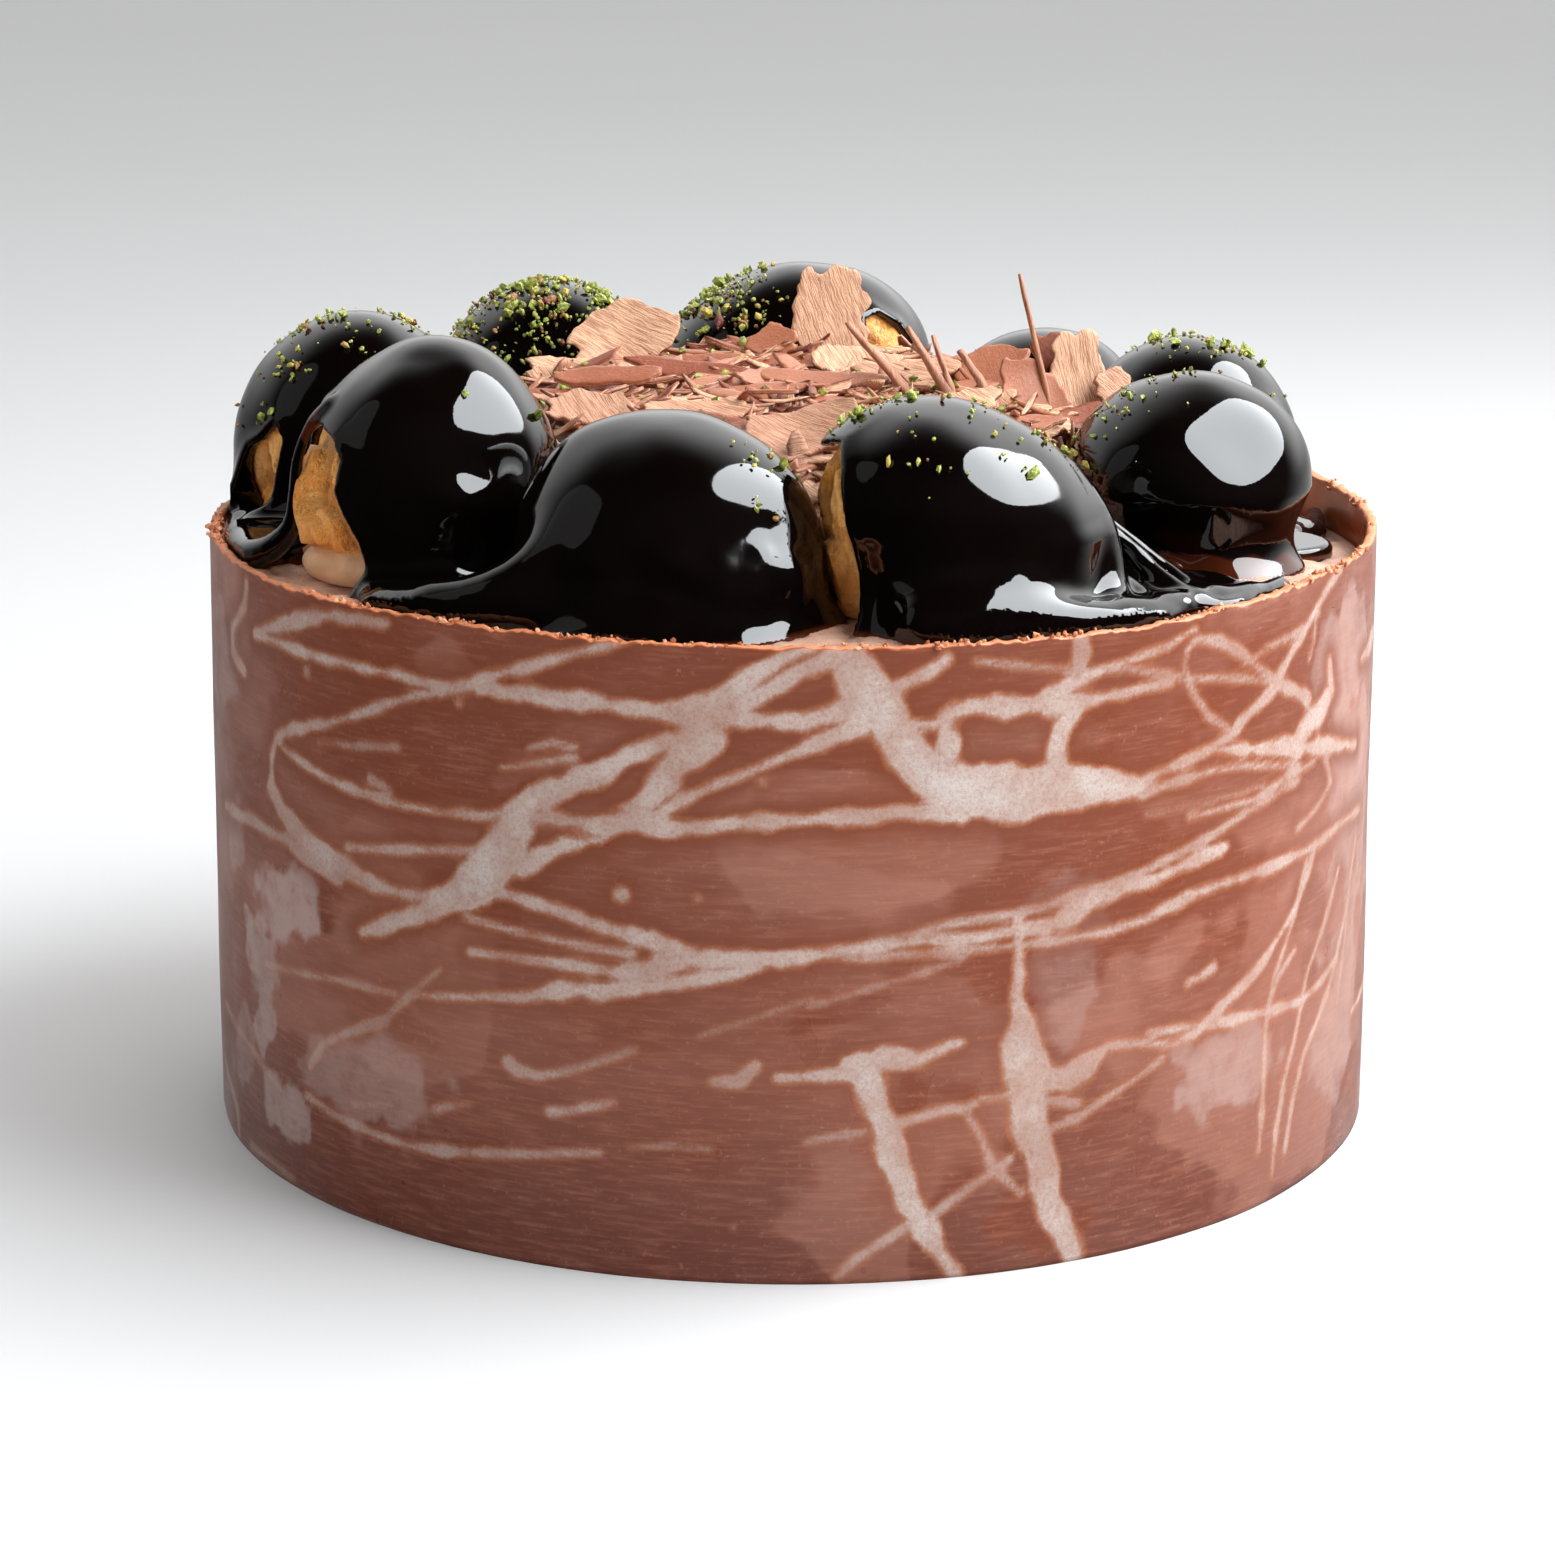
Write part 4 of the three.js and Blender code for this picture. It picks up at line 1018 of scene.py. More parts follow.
def pastry_mesh(puff, rows, around):
    """A craggy baked shell over the smooth form of the puff, flat where it stands."""
    steep = np.linspace(0, math.pi, rows + 2)[1:-1][::-1]
    angle = full_turn(around)
    rings = [puff_ring(puff, steepness, angle) for steepness in steep]
    top = puff_ring(puff, 0.0, angle[:1])[0]
    bottom = puff_ring(puff, math.pi, angle[:1])[0]
    points, faces = capped_skin(rings, top, bottom)
    x, y, z = points.T
    outwards = points - [puff.x, puff.y, puff.belly]
    outwards /= np.linalg.norm(outwards, axis=1, keepdims=True)
    show = smooth(1.0, -1.4, puff.bare(x, y, z))
    seed = 900 + puff.index * 17
    crust = cloud(x, y, z * 0.75, 9.0, seed, layers=2)
    plates = 2.0 * smooth(-0.04, 0.04, crust + 0.12) + 1.8 * smooth(-0.04, 0.04, crust - 0.22)
    furrows = cloud(x, y, z * 0.3, 3.4, seed + 5, layers=3)
    pores = np.maximum(0, speckle(x, y, z, 1.6, seed + 9) - 0.35)
    cracks = smooth(0.12, 0.0, creases(x, y, z * 0.5, 8.0, seed + 3, layers=2))
    height = (plates - 2.0 + 1.0 * furrows - 1.3 * pores - 1.5 * cracks) * show
    height = height - puff.set_back(x, y, z)
    points = points + outwards * height[:, None]
    stand_on_cream(points)
    low = 1 - smooth(0.0, 0.55, (z - puff.floor) / puff.tall)
    return mesh_from("pastry", points, faces, {"height": height, "low": low})


def puff_ring(puff, steepness, angle):
    """Points round the smooth form of the puff at one steepness from its crown."""
    high = steepness < math.pi / 2
    upright = puff.crown - puff.belly if high else 2 * (puff.belly - puff.floor)
    level = puff.belly + upright * math.cos(steepness)
    lift = max(0.0, math.cos(steepness))
    size = math.sin(steepness) * (1 + PUFF_LUMPS * puff.wave(angle)) * float(puff.waist(level))
    u = puff.deep / 2 * size * np.cos(angle) + puff.lean * lift
    v = puff.wide / 2 * size * np.sin(angle) + puff.nose * lift
    (ox, oy), (ax, ay) = puff.axes
    x = puff.x + u * ox + v * ax
    y = puff.y + u * oy + v * ay
    z = np.full(len(angle), level)
    return np.stack([x, y, z], axis=1)


def nut_chance(points):
    """How thickly chopped pistachio lies at each point: in spots, and in clumps within them."""
    total = np.zeros(len(points))
    for x, y, z, reach, amount in NUT_SPOTS:
        near = np.sum((points - [x, y, z]) ** 2, axis=1) / reach**2
        total += amount * np.exp(-near)
    clumps = 0.45 + 1.1 * np.clip(cloud(*points.T, 4.0, 77, layers=2) + 0.35, 0, 1)
    return np.clip(total, 0, 1.3) * clumps


def filling_mesh():
    """A squeezed disc of cream, softly folded."""
    puff = ALL_PUFFS[0]
    at, out, wide, deep, thick = FILLING
    dx, dy = on_cake(at, out)
    middle = np.array([puff.x + dx, puff.y + dy, puff.floor + thick * 0.3])
    (ox, oy), (ax, ay) = axes_at(at)
    angle = full_turn(72)
    rings = []
    for s in np.linspace(0, math.pi, 30)[1:-1][::-1]:
        rise, size = math.cos(s), math.sin(s) ** 0.75
        u, v = deep / 2 * size * np.cos(angle), wide / 2 * size * np.sin(angle)
        level = np.full(len(angle), thick / 2 * rise)
        rings.append(middle + np.stack([u * ox + v * ax, u * oy + v * ay, level], axis=1))
    pole = [0, 0, thick / 2]
    points, faces = capped_skin(rings, middle + pole, middle - pole)
    soft = 0.45 * cloud(*points.T, 6.0, 55, layers=2)
    points = middle + (points - middle) * (1 + soft[:, None] / 9)
    stand_on_cream(points)
    return mesh_from("filling", points, faces)


# ---- The chocolate collar and the mousse -----------------------------------------------------


def camera_axes():
    """Unit steps to the right of, above and ahead of the camera."""
    yaw, pitch, roll = CAMERA_YAW, CAMERA_PITCH, CAMERA_ROLL
    ahead = np.array([math.sin(yaw) * math.cos(pitch), math.cos(yaw) * math.cos(pitch), -math.sin(pitch)])
    right = np.cross(ahead, [0, 0, 1])
    right /= np.linalg.norm(right)
    up = np.cross(right, ahead)
    return (
        math.cos(roll) * right + math.sin(roll) * up,
        -math.sin(roll) * right + math.cos(roll) * up,
        ahead,
    )


def seen_on_collar(marks):
    """Bearing, height and width, to a tenth, of marks that the photo shows on the collar."""
    right, up, ahead = camera_axes()
    middle = PHOTO_WIDTH / 2
    found = []
    for column, row, width in marks:
        ray = ahead + ((column - middle) * right - (row - middle) * up) / PHOTO_FOCUS
        # The ray meets the round wall where level * t**2 - 2 * nearing * t + beyond is 0.
        level, nearing = ray[0] ** 2 + ray[1] ** 2, ray[1] * CAMERA_AWAY
        beyond = CAMERA_AWAY**2 - MARKS_RADIUS**2
        t = (nearing - math.sqrt(nearing**2 - level * beyond)) / level
        x, y, height = ray * t + [0, -CAMERA_AWAY, CAMERA_HIGH]
        wide = width * t * np.linalg.norm(ray) / PHOTO_FOCUS
        found.append(tuple(round(float(v), 1) for v in (bearing_of(x, y), height, wide)))
    return found


def streaks_round_the_back():
    """More streaks in the same manner, for the side that is turned away."""
    roll = dice(2024)
    made = []
    for _ in range(64):
        bearing = 66 + 226 * next(roll)
        height = 8 + 98 * next(roll)
        steep = next(roll) < 0.28
        heading = (50 + 60 * next(roll)) if steep else (-26 + 52 * next(roll))
        length = 14 + 62 * next(roll) ** 1.4
        width = 0.7 + 1.1 * next(roll)
        swell = 4.2 * max(0.0, next(roll) - 0.62) / 0.38
        curve = (next(roll) - 0.5) * 1.6
        steps = max(3, int(length / 7))
        points = []
        for i in range(steps + 1):
            share = i / steps
            fade = math.sin(math.pi * min(1.0, share * 1.1 + 0.02)) ** 0.5
            wide = (width + swell * math.sin(math.pi * share)) * fade
            points.append((bearing, height, max(0.4, wide)))
            step = length / steps
            bearing += math.degrees(step * math.cos(math.radians(heading)) / COLLAR_RADIUS)
            height += step * math.sin(math.radians(heading))
            heading += curve * step + (next(roll) - 0.5) * 16
        points = [p for p in points if 1 < p[1] < 112]
        if len(points) > 1:
            made.append((0.45 + 0.5 * next(roll), points))
    return made


def streak_fields(bearing, height):
    """For each point of the collar: distance to the edge of the nearest streak, negative inside
    it, and how strong that streak is."""
    s = round_collar(bearing)
    edge = np.full(len(s), 9.0)
    strength = np.zeros(len(s))
    wander = 0.6 * speckle(s, height, 0 * s, 4.5, 61) + 0.3 * speckle(s, height, 0 * s, 1.9, 62)
    in_front = [(power, seen_on_collar(marks)) for power, marks in MARKS]
    for power, points in in_front + streaks_round_the_back():
        for (b0, h0, w0), (b1, h1, w1) in zip(points, points[1:]):
            s0, s1 = round_collar(b0), round_collar(b1)
            reach = max(w0, w1) / 2 + 7
            near = (
                (s > min(s0, s1) - reach) & (s < max(s0, s1) + reach)
                & (height > min(h0, h1) - reach) & (height < max(h0, h1) + reach)
            )
            if not near.any():
                continue
            ds, dh = s1 - s0, h1 - h0
            ps, ph = s[near] - s0, height[near] - h0
            share = np.clip((ps * ds + ph * dh) / (ds * ds + dh * dh), 0, 1)
            half = mix(w0, w1, share) / 2 * 1.08 + 0.3
            off = np.hypot(ps - ds * share, ph - dh * share) - half
            off = off + wander[near] * np.clip(half * 0.8, 0.2, 1.5)
            better = off < edge[near]
            edge[near] = np.where(better, off, edge[near])
            strength[near] = np.where(better, power, strength[near])
    for b, h, radius, power in DROPS:
        off = np.hypot(s - round_collar(b), height - h) - radius
        strength = np.where(off < edge, power, strength)
        edge = np.minimum(edge, off)
    for b, h, half_s, half_h in ISLANDS:
        u, v = (s - round_collar(b)) / half_s, (height - h) / half_h
        island = (np.hypot(u, v) - 1) * min(half_s, half_h) + 0.5 * wander
        edge = np.maximum(edge, -island)
    return np.clip(edge, -9, 9), strength


def bloom_field(bearing, height):
    """How dull the chocolate is at each point of the collar: in patches, and at random behind."""
    s = round_collar(bearing)
    wander = cloud(s, height, 0 * s, 6.0, 71)
    total = np.zeros(len(s))
    for b, h, half_s, half_h, power in BLOOM:
        u, v = (s - round_collar(b)) / half_s, (height - h) / half_h
        total = np.maximum(total, power * smooth(1.12, 0.9, np.hypot(u, v) + 0.42 * wander))
    angle = np.radians(bearing)
    x, y = COLLAR_RADIUS * np.sin(angle), -COLLAR_RADIUS * np.cos(angle)
    behind = smooth(0.56, 0.66, 0.5 + 0.5 * cloud(x, y, height * 1.2, 21.0, 73)) * 0.5
    behind = behind * smooth(64, 86, abs(bearing))
    return np.maximum(total, behind)


def rim_height(bearing):
    """Height of the broken rim, which waves and is chipped."""
    wave = lumps(11, (2, 3, 5, 8))(np.radians(bearing - 90))
    lift = COLLAR_LIFT * np.maximum(0, np.cos(np.radians(bearing - COLLAR_LIFT_BEARING)))
    s = round_collar(bearing)
    chips = 0.28 * speckle(s, 0 * s, 0 * s, 2.2, 91) + 0.2 * speckle(s, 0 * s, 0 * s, 0.9, 92)
    return COLLAR_RIM + lift + 0.7 * wave + chips


def collar_mesh():
    """The sheet of chocolate, finer at the front, with a crumbled rim."""
    front = np.linspace(-FINE_FRONT, FINE_FRONT, 430, endpoint=False)
    back = np.linspace(FINE_FRONT, 360 - FINE_FRONT, 176, endpoint=False)
    bearing = np.concatenate([front, back])
    s = round_collar(bearing)
    rim = rim_height(bearing)
    # Rings of points up the outside, over the rim and down the inside: radius, height, and how
    # raw the chocolate is there.
    rings = []
    for share in np.linspace(0, 1, 122):
        z = share * (rim - COLLAR_LIP)
        warp = 0.16 * cloud(s, z, 0 * z, 30.0, 95, layers=2)
        rings.append((COLLAR_RADIUS + COLLAR_FLARE * (1 - share) + warp - COLLAR_EDGE, z, 0.0))
    for across, down in ((0.12, 0.12), (0.4, 0.0), (0.7, 0.05), (0.93, 0.12), (1.0, 0.5)):
        rough = 0.3 * speckle(s, np.full_like(s, across * 9), 0 * s, 1.1, 97)
        radius = COLLAR_RADIUS - COLLAR_WALL * across + 0.6 * rough * (across < 0.9)
        rings.append((radius, rim - down + rough, 1.0))
    inside = np.full_like(s, COLLAR_RADIUS - COLLAR_WALL)
    for drop in (1.2, 2.4, 4.0, 6.0, 8.5, 12.0):
        rough = 0.12 * speckle(s, np.full_like(s, drop), 0 * s, 3.0, 98)
        rings.append((inside + rough, rim - drop, 0.5))
    rings.append((inside, 0 * s, 0.5))
    angle = np.radians(bearing)
    points = np.concatenate(
        [np.stack([out * np.sin(angle), -out * np.cos(angle), z], axis=1) for out, z, _ in rings]
    )
    points[:, 2] = np.maximum(points[:, 2], 0)
    around, count = len(bearing), len(rings)
    j, k = neighbours(around)
    foot = (count - 1) * around
    base = np.stack([foot + j, foot + k, k, j], axis=1)
    crumbly = smooth(0.0, 0.6, cloud(s, 0 * s, 0 * s, 9.0, 93, layers=2)) * 0.9 + 0.1
    # Streaks that go on round the back have bearings past 180, so both turns are looked up.
    further = np.tile(bearing, count)
    nearer = (further + 180) % 360 - 180
    edge, strength = streak_fields(nearer, points[:, 2])
    edge_b, strength_b = streak_fields(further, points[:, 2])
    fields = {
        "edge": np.where(edge_b < edge, edge_b, edge),
        "strength": np.where(edge_b < edge, strength_b, strength),
        "bloom": bloom_field(nearer, points[:, 2]),
        "cut": np.repeat([raw for _, _, raw in rings], around),
        "chance": np.concatenate([crumbly * (raw == 1.0) for _, _, raw in rings]),
    }
    return mesh_from("collar", points, [ring_faces(count, around), base], fields)


def mousse_mesh():
    """The cake under its collar, with a rough, pitted top."""
    angle = full_turn(430)
    radii = [INSIDE_COLLAR - CHOCOLATE_GAP, *np.arange(106.8, 50, -1.25), 44, 34, 22, 10]
    rings = [ring_at(radii[0], angle, z) for z in (0.0, 60.0, MOUSSE_SHOULDER)]
    rings += [ring_at(radius, angle, cream_top) for radius in radii]
    points, faces = capped_skin(rings, [0, 0, CREAM_TOP], [0, 0, 0])
    x, y, z = points.T
    soft = cloud(x, y, z, 7.0, 301, layers=3)
    pits = np.maximum(0, speckle(x, y, z, 2.4, 311) - 0.25)
    pits = pits + 0.6 * np.maximum(0, speckle(x, y, z, 1.3, 312) - 0.4)
    height = 0.45 * soft - 1.1 * pits
    height = height * smooth(0, 1.5, INSIDE_COLLAR - np.hypot(x, y))
    points[:, 2] = np.where(z > MOUSSE_SHOULDER + 1, z + height, z)
    return mesh_from("mousse", points, faces, {"height": height})


# ---- The bed of shavings ---------------------------------------------------------------------


def shaving(long, wide, thick, bend, seed, ridged=1, grain=90, rounded=0.3, step=0.8):
    """A bent strip of chocolate about the origin with a torn outline, one face scraped."""
    count_u, count_v = max(6, int(long / step)), max(4, int(wide / step))
    u, v = np.meshgrid(np.linspace(-1, 1, count_u), np.linspace(-1, 1, count_v), indexing="ij")
    flat = 0 * u
    side = 1 - 0.30 * (0.5 + 0.5 * speckle(u * 2.6, np.sign(v) * 3, flat, 1.0, seed)) * abs(v)
    ends = 1 - 0.30 * (0.5 + 0.5 * speckle(v * 2.6, np.sign(u) * 5, flat, 1.0, seed + 1)) * abs(u)
    lean = 0.3 * float(speckle(seed, 0.5, 0.5, 1.0, 3))
    x = long / 2 * u * (1 - 0.5 * rounded * v * v) * ends + lean * v * wide / 2
    y = wide / 2 * v * (1 - 0.5 * rounded * u * u) * side
    torn = np.maximum(abs(u), abs(v)) ** 5 * min(1.0, wide / 7)
    x = x + 0.5 * torn * speckle(x, y, flat, 1.4, seed + 2)
    y = y + 0.4 * torn * speckle(x, y, flat, 1.4, seed + 6)
    turn = math.radians(grain)
    across = x * math.sin(turn) + y * math.cos(turn)
    along = x * math.cos(turn) - y * math.sin(turn)
    curl = bend * x * x + 0.6 * bend * y * y + 0.4 * speckle(x, y, flat, 7.0, seed + 3)
    ridges = 0.10 * speckle(across, along * 0.2, flat, 1.8, seed + 5)
    rim = np.minimum(1 - abs(u), 1 - abs(v))
    half = thick / 2 * mix(0.7, 1.0, smooth(-0.01, 0.12, rim))
    top = curl + half + (ridges if ridged else 0.2 * ridges)
    low = curl - half + (0.2 * ridges if ridged else ridges)
    upper = np.stack([x, y, top], axis=-1).reshape(-1, 3)
    lower = np.stack([x, y, low], axis=-1).reshape(-1, 3)
    points = np.concatenate([upper, lower])
    i, j = np.meshgrid(np.arange(count_u - 1), np.arange(count_v - 1), indexing="ij")
    a = (i * count_v + j).ravel()
    b, c, d = a + count_v, a + count_v + 1, a + 1
    n = count_u * count_v
    faces = [np.stack([a, b, c, d], axis=1), np.stack([a + n, d + n, c + n, b + n], axis=1)]
    border = [k * count_v for k in range(count_u)]
    border += [(count_u - 1) * count_v + k for k in range(1, count_v)]
    border += [k * count_v + count_v - 1 for k in range(count_u - 2, -1, -1)]
    border += list(range(count_v - 2, 0, -1))
    border = np.array(border)
    after = np.roll(border, -1)
    faces.append(np.stack([border + n, after + n, after, border], axis=1))
    scraped = np.concatenate([np.full(n, float(ridged)), np.full(n, 1.0 - ridged)])
    fields = {
        "scraped": scraped,
        "across": np.tile(across.ravel(), 2),
        "along": np.tile(along.ravel(), 2),
        "deep": np.zeros(2 * n),
    }
    return points, faces, fields


def laid(points, x, y, z, roll, tip, turn):
    """Rolls, tips and turns a shaving and puts it in its place."""
    turned = Matrix.Rotation(math.radians(turn), 3, "Z")
    turned = turned @ Matrix.Rotation(-math.radians(tip), 3, "Y")
    turned = turned @ Matrix.Rotation(math.radians(roll), 3, "X")
    return points @ np.array(turned).T + [x, y, z]


def joined(parts):
    """One mesh out of many (points, faces, fields)."""
    points, quads, triangles, fields = [], [], [], {}
    count = 0
    for part_points, part_faces, part_fields in parts:
        for face in part_faces:
            (quads if face.shape[1] == 4 else triangles).append(face + count)
        for key, values in part_fields.items():
            fields.setdefault(key, []).append(values)
        points.append(part_points)
        count += len(part_points)
    faces = [np.concatenate(group) for group in (triangles, quads) if group]
    fields = {key: np.concatenate(values) for key, values in fields.items()}
    return mesh_from("joined", np.concatenate(points), faces, fields)


def placed(made, tint, *place):
    """A shaving in its place, with a tint of its own."""
    points, faces, fields = made
    fields["tint"] = np.full(len(points), tint)
    return laid(points, *place), faces, fields


def big_shavings_mesh():
    """The shavings that stand out, and many middling ones laid nearly flat between them."""
    parts = []
    for i, (x, y, z, long, wide, roll, tip, turn, bend, ridged, grain, rounded) in enumerate(BIG_SHAVINGS):
        made = shaving(long, wide, 1.2, bend, 700 + 13 * i, ridged, grain, rounded, 0.6)
        parts.append(placed(made, (i * 0.37) % 1.0, x, y, z, roll, tip, turn))
    luck = dice(77)
    for i in range(MIDDLING_SHAVINGS):
        x, y = on_cake(360 * next(luck), 50 * math.sqrt(next(luck)))
        long, wide = 9 + 19 * next(luck), 2.6 + 5.5 * next(luck)
        turn, tip, roll = 70 * (next(luck) - 0.5), 16 * (next(luck) - 0.5), 4 + 30 * next(luck)
        z = float(bed_top(x, y)) + 0.6 + 3.6 * next(luck)
        ridged, tint = int(next(luck) < 0.45), next(luck)
        reach_x, reach_y = (long / 2 * f(math.radians(turn)) for f in (math.cos, math.sin))
        ends = [(x, y), (x + reach_x, y + reach_y), (x - reach_x, y - reach_y)]
        if min(float(puff.distance(a, b, z)) for a, b in ends for puff in ALL_PUFFS) < COAT + 1.0:
            continue
        made = shaving(long, wide, 1.0, 0.006, 1100 + 17 * i, ridged, 90 * tint, 0.2 + 0.6 * tint)
        parts.append(placed(made, tint, x, y, z, roll, tip, turn))
    return joined(parts)


def splinter(start, end, thick, seed):
    """A tapering splinter, a little twisted."""
    start, end = np.array(start, float), np.array(end, float)
    reach = end - start
    axis = reach / np.linalg.norm(reach)
    side = np.cross(axis, [0, 1, 0])
    side /= np.linalg.norm(side)
    other = np.cross(axis, side)
    angle = full_turn(10)
    cosine, sine = np.cos(angle), np.sin(angle)
    rings = []
    for share in np.linspace(0, 1, 26):
        radius = thick * 0.66 * (1 - 0.5 * share)
        wobble = 0.35 * float(speckle(share * 4, seed, 0.5, 1.0, 5)) * math.sin(math.pi * share)
        rough = 1 + 0.25 * speckle(cosine * 2, sine * 2, np.full(len(angle), share * 9), 1.0, seed)
        centre = start + reach * share + side * wobble
        ring = cosine[:, None] * side * 0.7 + sine[:, None] * other * 1.15
        rings.append(centre + ring * radius * rough[:, None])
    points, faces = capped_skin(rings, end, start)
    n = len(points)
    fields = {
        "scraped": np.full(n, 0.45), "tint": np.full(n, 0.4),
        "across": points[:, 0] * 2, "along": points[:, 2],
    }
    return points, faces, fields


def splinters_mesh():
    """The splinters that stand out of the heap."""
    return joined([splinter(*sizes, 40 + i) for i, sizes in enumerate(SPLINTERS)])


def bed_mesh():
    """The core of the bed, rough all over, with the chance that a shaving lies at each point."""
    angle = full_turn(150)
    rings = [ring_at(BED_RADIUS, angle, BED_FOOT)]
    rings += [ring_at(radius, angle, bed_top) for radius in np.linspace(BED_RADIUS, 2.0, 44)]
    points, faces = capped_skin(rings, [0, 0, BED_MIDDLE], [0, 0, BED_FOOT])
    x, y, z = points.T
    above = z > BED_FOOT + 1
    rough = np.where(above, 0.9 * cloud(x, y * 2.0, z, 5.0, 501), 0)
    points[:, 2] = z + rough - 0.6 * above
    clear = np.full(len(points), FAR)
    for puff in ALL_PUFFS:
        clear = np.minimum(clear, puff.distance(x, y, points[:, 2] + 3) - COAT)
    chance = smooth(2.5, 8.0, clear) * (z > BED_FOOT + 4)
    # deep marks the core, which its finish paints dark: painted shade deep in the heap.
    fields = {"chance": chance, "across": x, "along": y, "deep": np.ones(len(x))}
    return mesh_from("bed", points, faces, fields)


def crumb_shape(seed, squash=0.75, finer=1):
    """A broken crumb about one millimetre across, with flat faces and a ragged outline."""
    ball = bmesh.new()
    bmesh.ops.create_icosphere(ball, subdivisions=finer, radius=1.0)
    points = np.array([v.co[:] for v in ball.verts])
    faces = np.array([[v.index for v in f.verts] for f in ball.faces])
    ball.free()
    luck = dice(seed * 7919 + 5)
    reach = np.full(len(points), 0.75)
    for _ in range(9):
        face = np.array([next(luck) - 0.5 for _ in range(3)])
        face /= np.linalg.norm(face)
        facing = np.maximum(points @ face, 0.05)
        reach = np.minimum(reach, (0.3 + 0.25 * next(luck)) / facing)
    rough = speckle(*(points * 5).T, 1.3, seed)
    points = points * (reach * (1 + 0.18 * rough))[:, None]
    points *= [1.0 + 0.5 * next(luck), 0.75 + 0.25 * next(luck), squash]
    return points, [faces], {}


# ---- Scattering with Geometry Nodes ----------------------------------------------------------

GIVEN = {  # the inputs of the tree
    "Surface": "Geometry", "Kinds": "Collection", "Most per square metre": "Float",
    "Smallest": "Float", "Largest": "Float", "Tilt": "Float", "Lift": "Float", "Heap": "Float",
    "Seed": "Int", "Finish": "Material",
}


def scatter_tree():
    """Lays random kinds of small piece over a surface, thicker where its chance is higher."""
    tree = bpy.data.node_groups.new("lay_small_pieces", "GeometryNodeTree")
    for name, kind in GIVEN.items():
        tree.interface.new_socket(name, in_out="INPUT", socket_type=f"NodeSocket{kind}")
    tree.interface.new_socket("Pieces", in_out="OUTPUT", socket_type="NodeSocketGeometry")
    given = tree.nodes.new("NodeGroupInput").outputs
    result = tree.nodes.new("NodeGroupOutput").inputs
    lay = Nodes(tree)

    def random_number(low, high, seed_step):
        node = tree.nodes.new("FunctionNodeRandomValue")
        node.data_type = "FLOAT"
        for key, value in (("Min", low), ("Max", high)):
            lay.feed(next(s for s in node.inputs if s.name == key and s.type == "VALUE"), value)
        lay.feed(node.inputs["Seed"], lay.math("ADD", given["Seed"], float(seed_step)))
        return next(s for s in node.outputs if s.type == "VALUE")

    chance = lay.node(
        "GeometryNodeInputNamedAttribute", {"Name": "chance"}, "Attribute", data_type="FLOAT"
    )
    thick = lay.times(chance, given["Most per square metre"])
    inputs = {"Mesh": given["Surface"], "Density": thick, "Seed": given["Seed"]}
    points = lay.node("GeometryNodeDistributePointsOnFaces", inputs).node.outputs
    height = lay.math("ADD", lay.times(random_number(0.0, 1.0, 3), given["Heap"]), given["Lift"])
    inputs = {0: points["Normal"], "Scale": height}
    offset = lay.node("ShaderNodeVectorMath", inputs, operation="SCALE")
    moved = lay.node("GeometryNodeSetPosition", {"Geometry": points["Points"], "Offset": offset})
    inputs = {"Collection": given["Kinds"], "Separate Children": True, "Reset Children": True}
    kinds = lay.node("GeometryNodeCollectionInfo", inputs)
    lean = lay.times(given["Tilt"], -1.0)
    tipped = lay.node("ShaderNodeCombineXYZ", {
        "X": random_number(lean, given["Tilt"], 5),
        "Y": random_number(lean, given["Tilt"], 6),
        "Z": random_number(0.0, 2 * math.pi, 7),
    })
    inputs = {"Rotation": points["Rotation"], "Rotate By": tipped}
    turned = lay.node("FunctionNodeRotateRotation", inputs, rotation_space="LOCAL")
    size = random_number(given["Smallest"], given["Largest"], 9)
    scale = lay.node("ShaderNodeCombineXYZ", {
        axis: lay.times(size, random_number(low, 1.2, 10 + ord(axis)))
        for axis, low in (("X", 0.8), ("Y", 0.75), ("Z", 0.85))
    })
    placed_pieces = lay.node("GeometryNodeInstanceOnPoints", {
        "Points": moved, "Instance": kinds, "Pick Instance": True, "Rotation": turned, "Scale": scale,
    })
    tinted = lay.node(
        "GeometryNodeStoreNamedAttribute", {"Geometry": placed_pieces, "Name": "tint"},
        data_type="FLOAT", domain="INSTANCE",
    )
    lay.feed(next(s for s in tinted.node.inputs if s.name == "Value"), random_number(0.0, 1.0, 21))
    real = lay.node("GeometryNodeRealizeInstances", {"Geometry": tinted})
    inputs = {"Geometry": real, "Material": given["Finish"]}
    lay.feed(result["Pieces"], lay.node("GeometryNodeSetMaterial", inputs))
    return tree


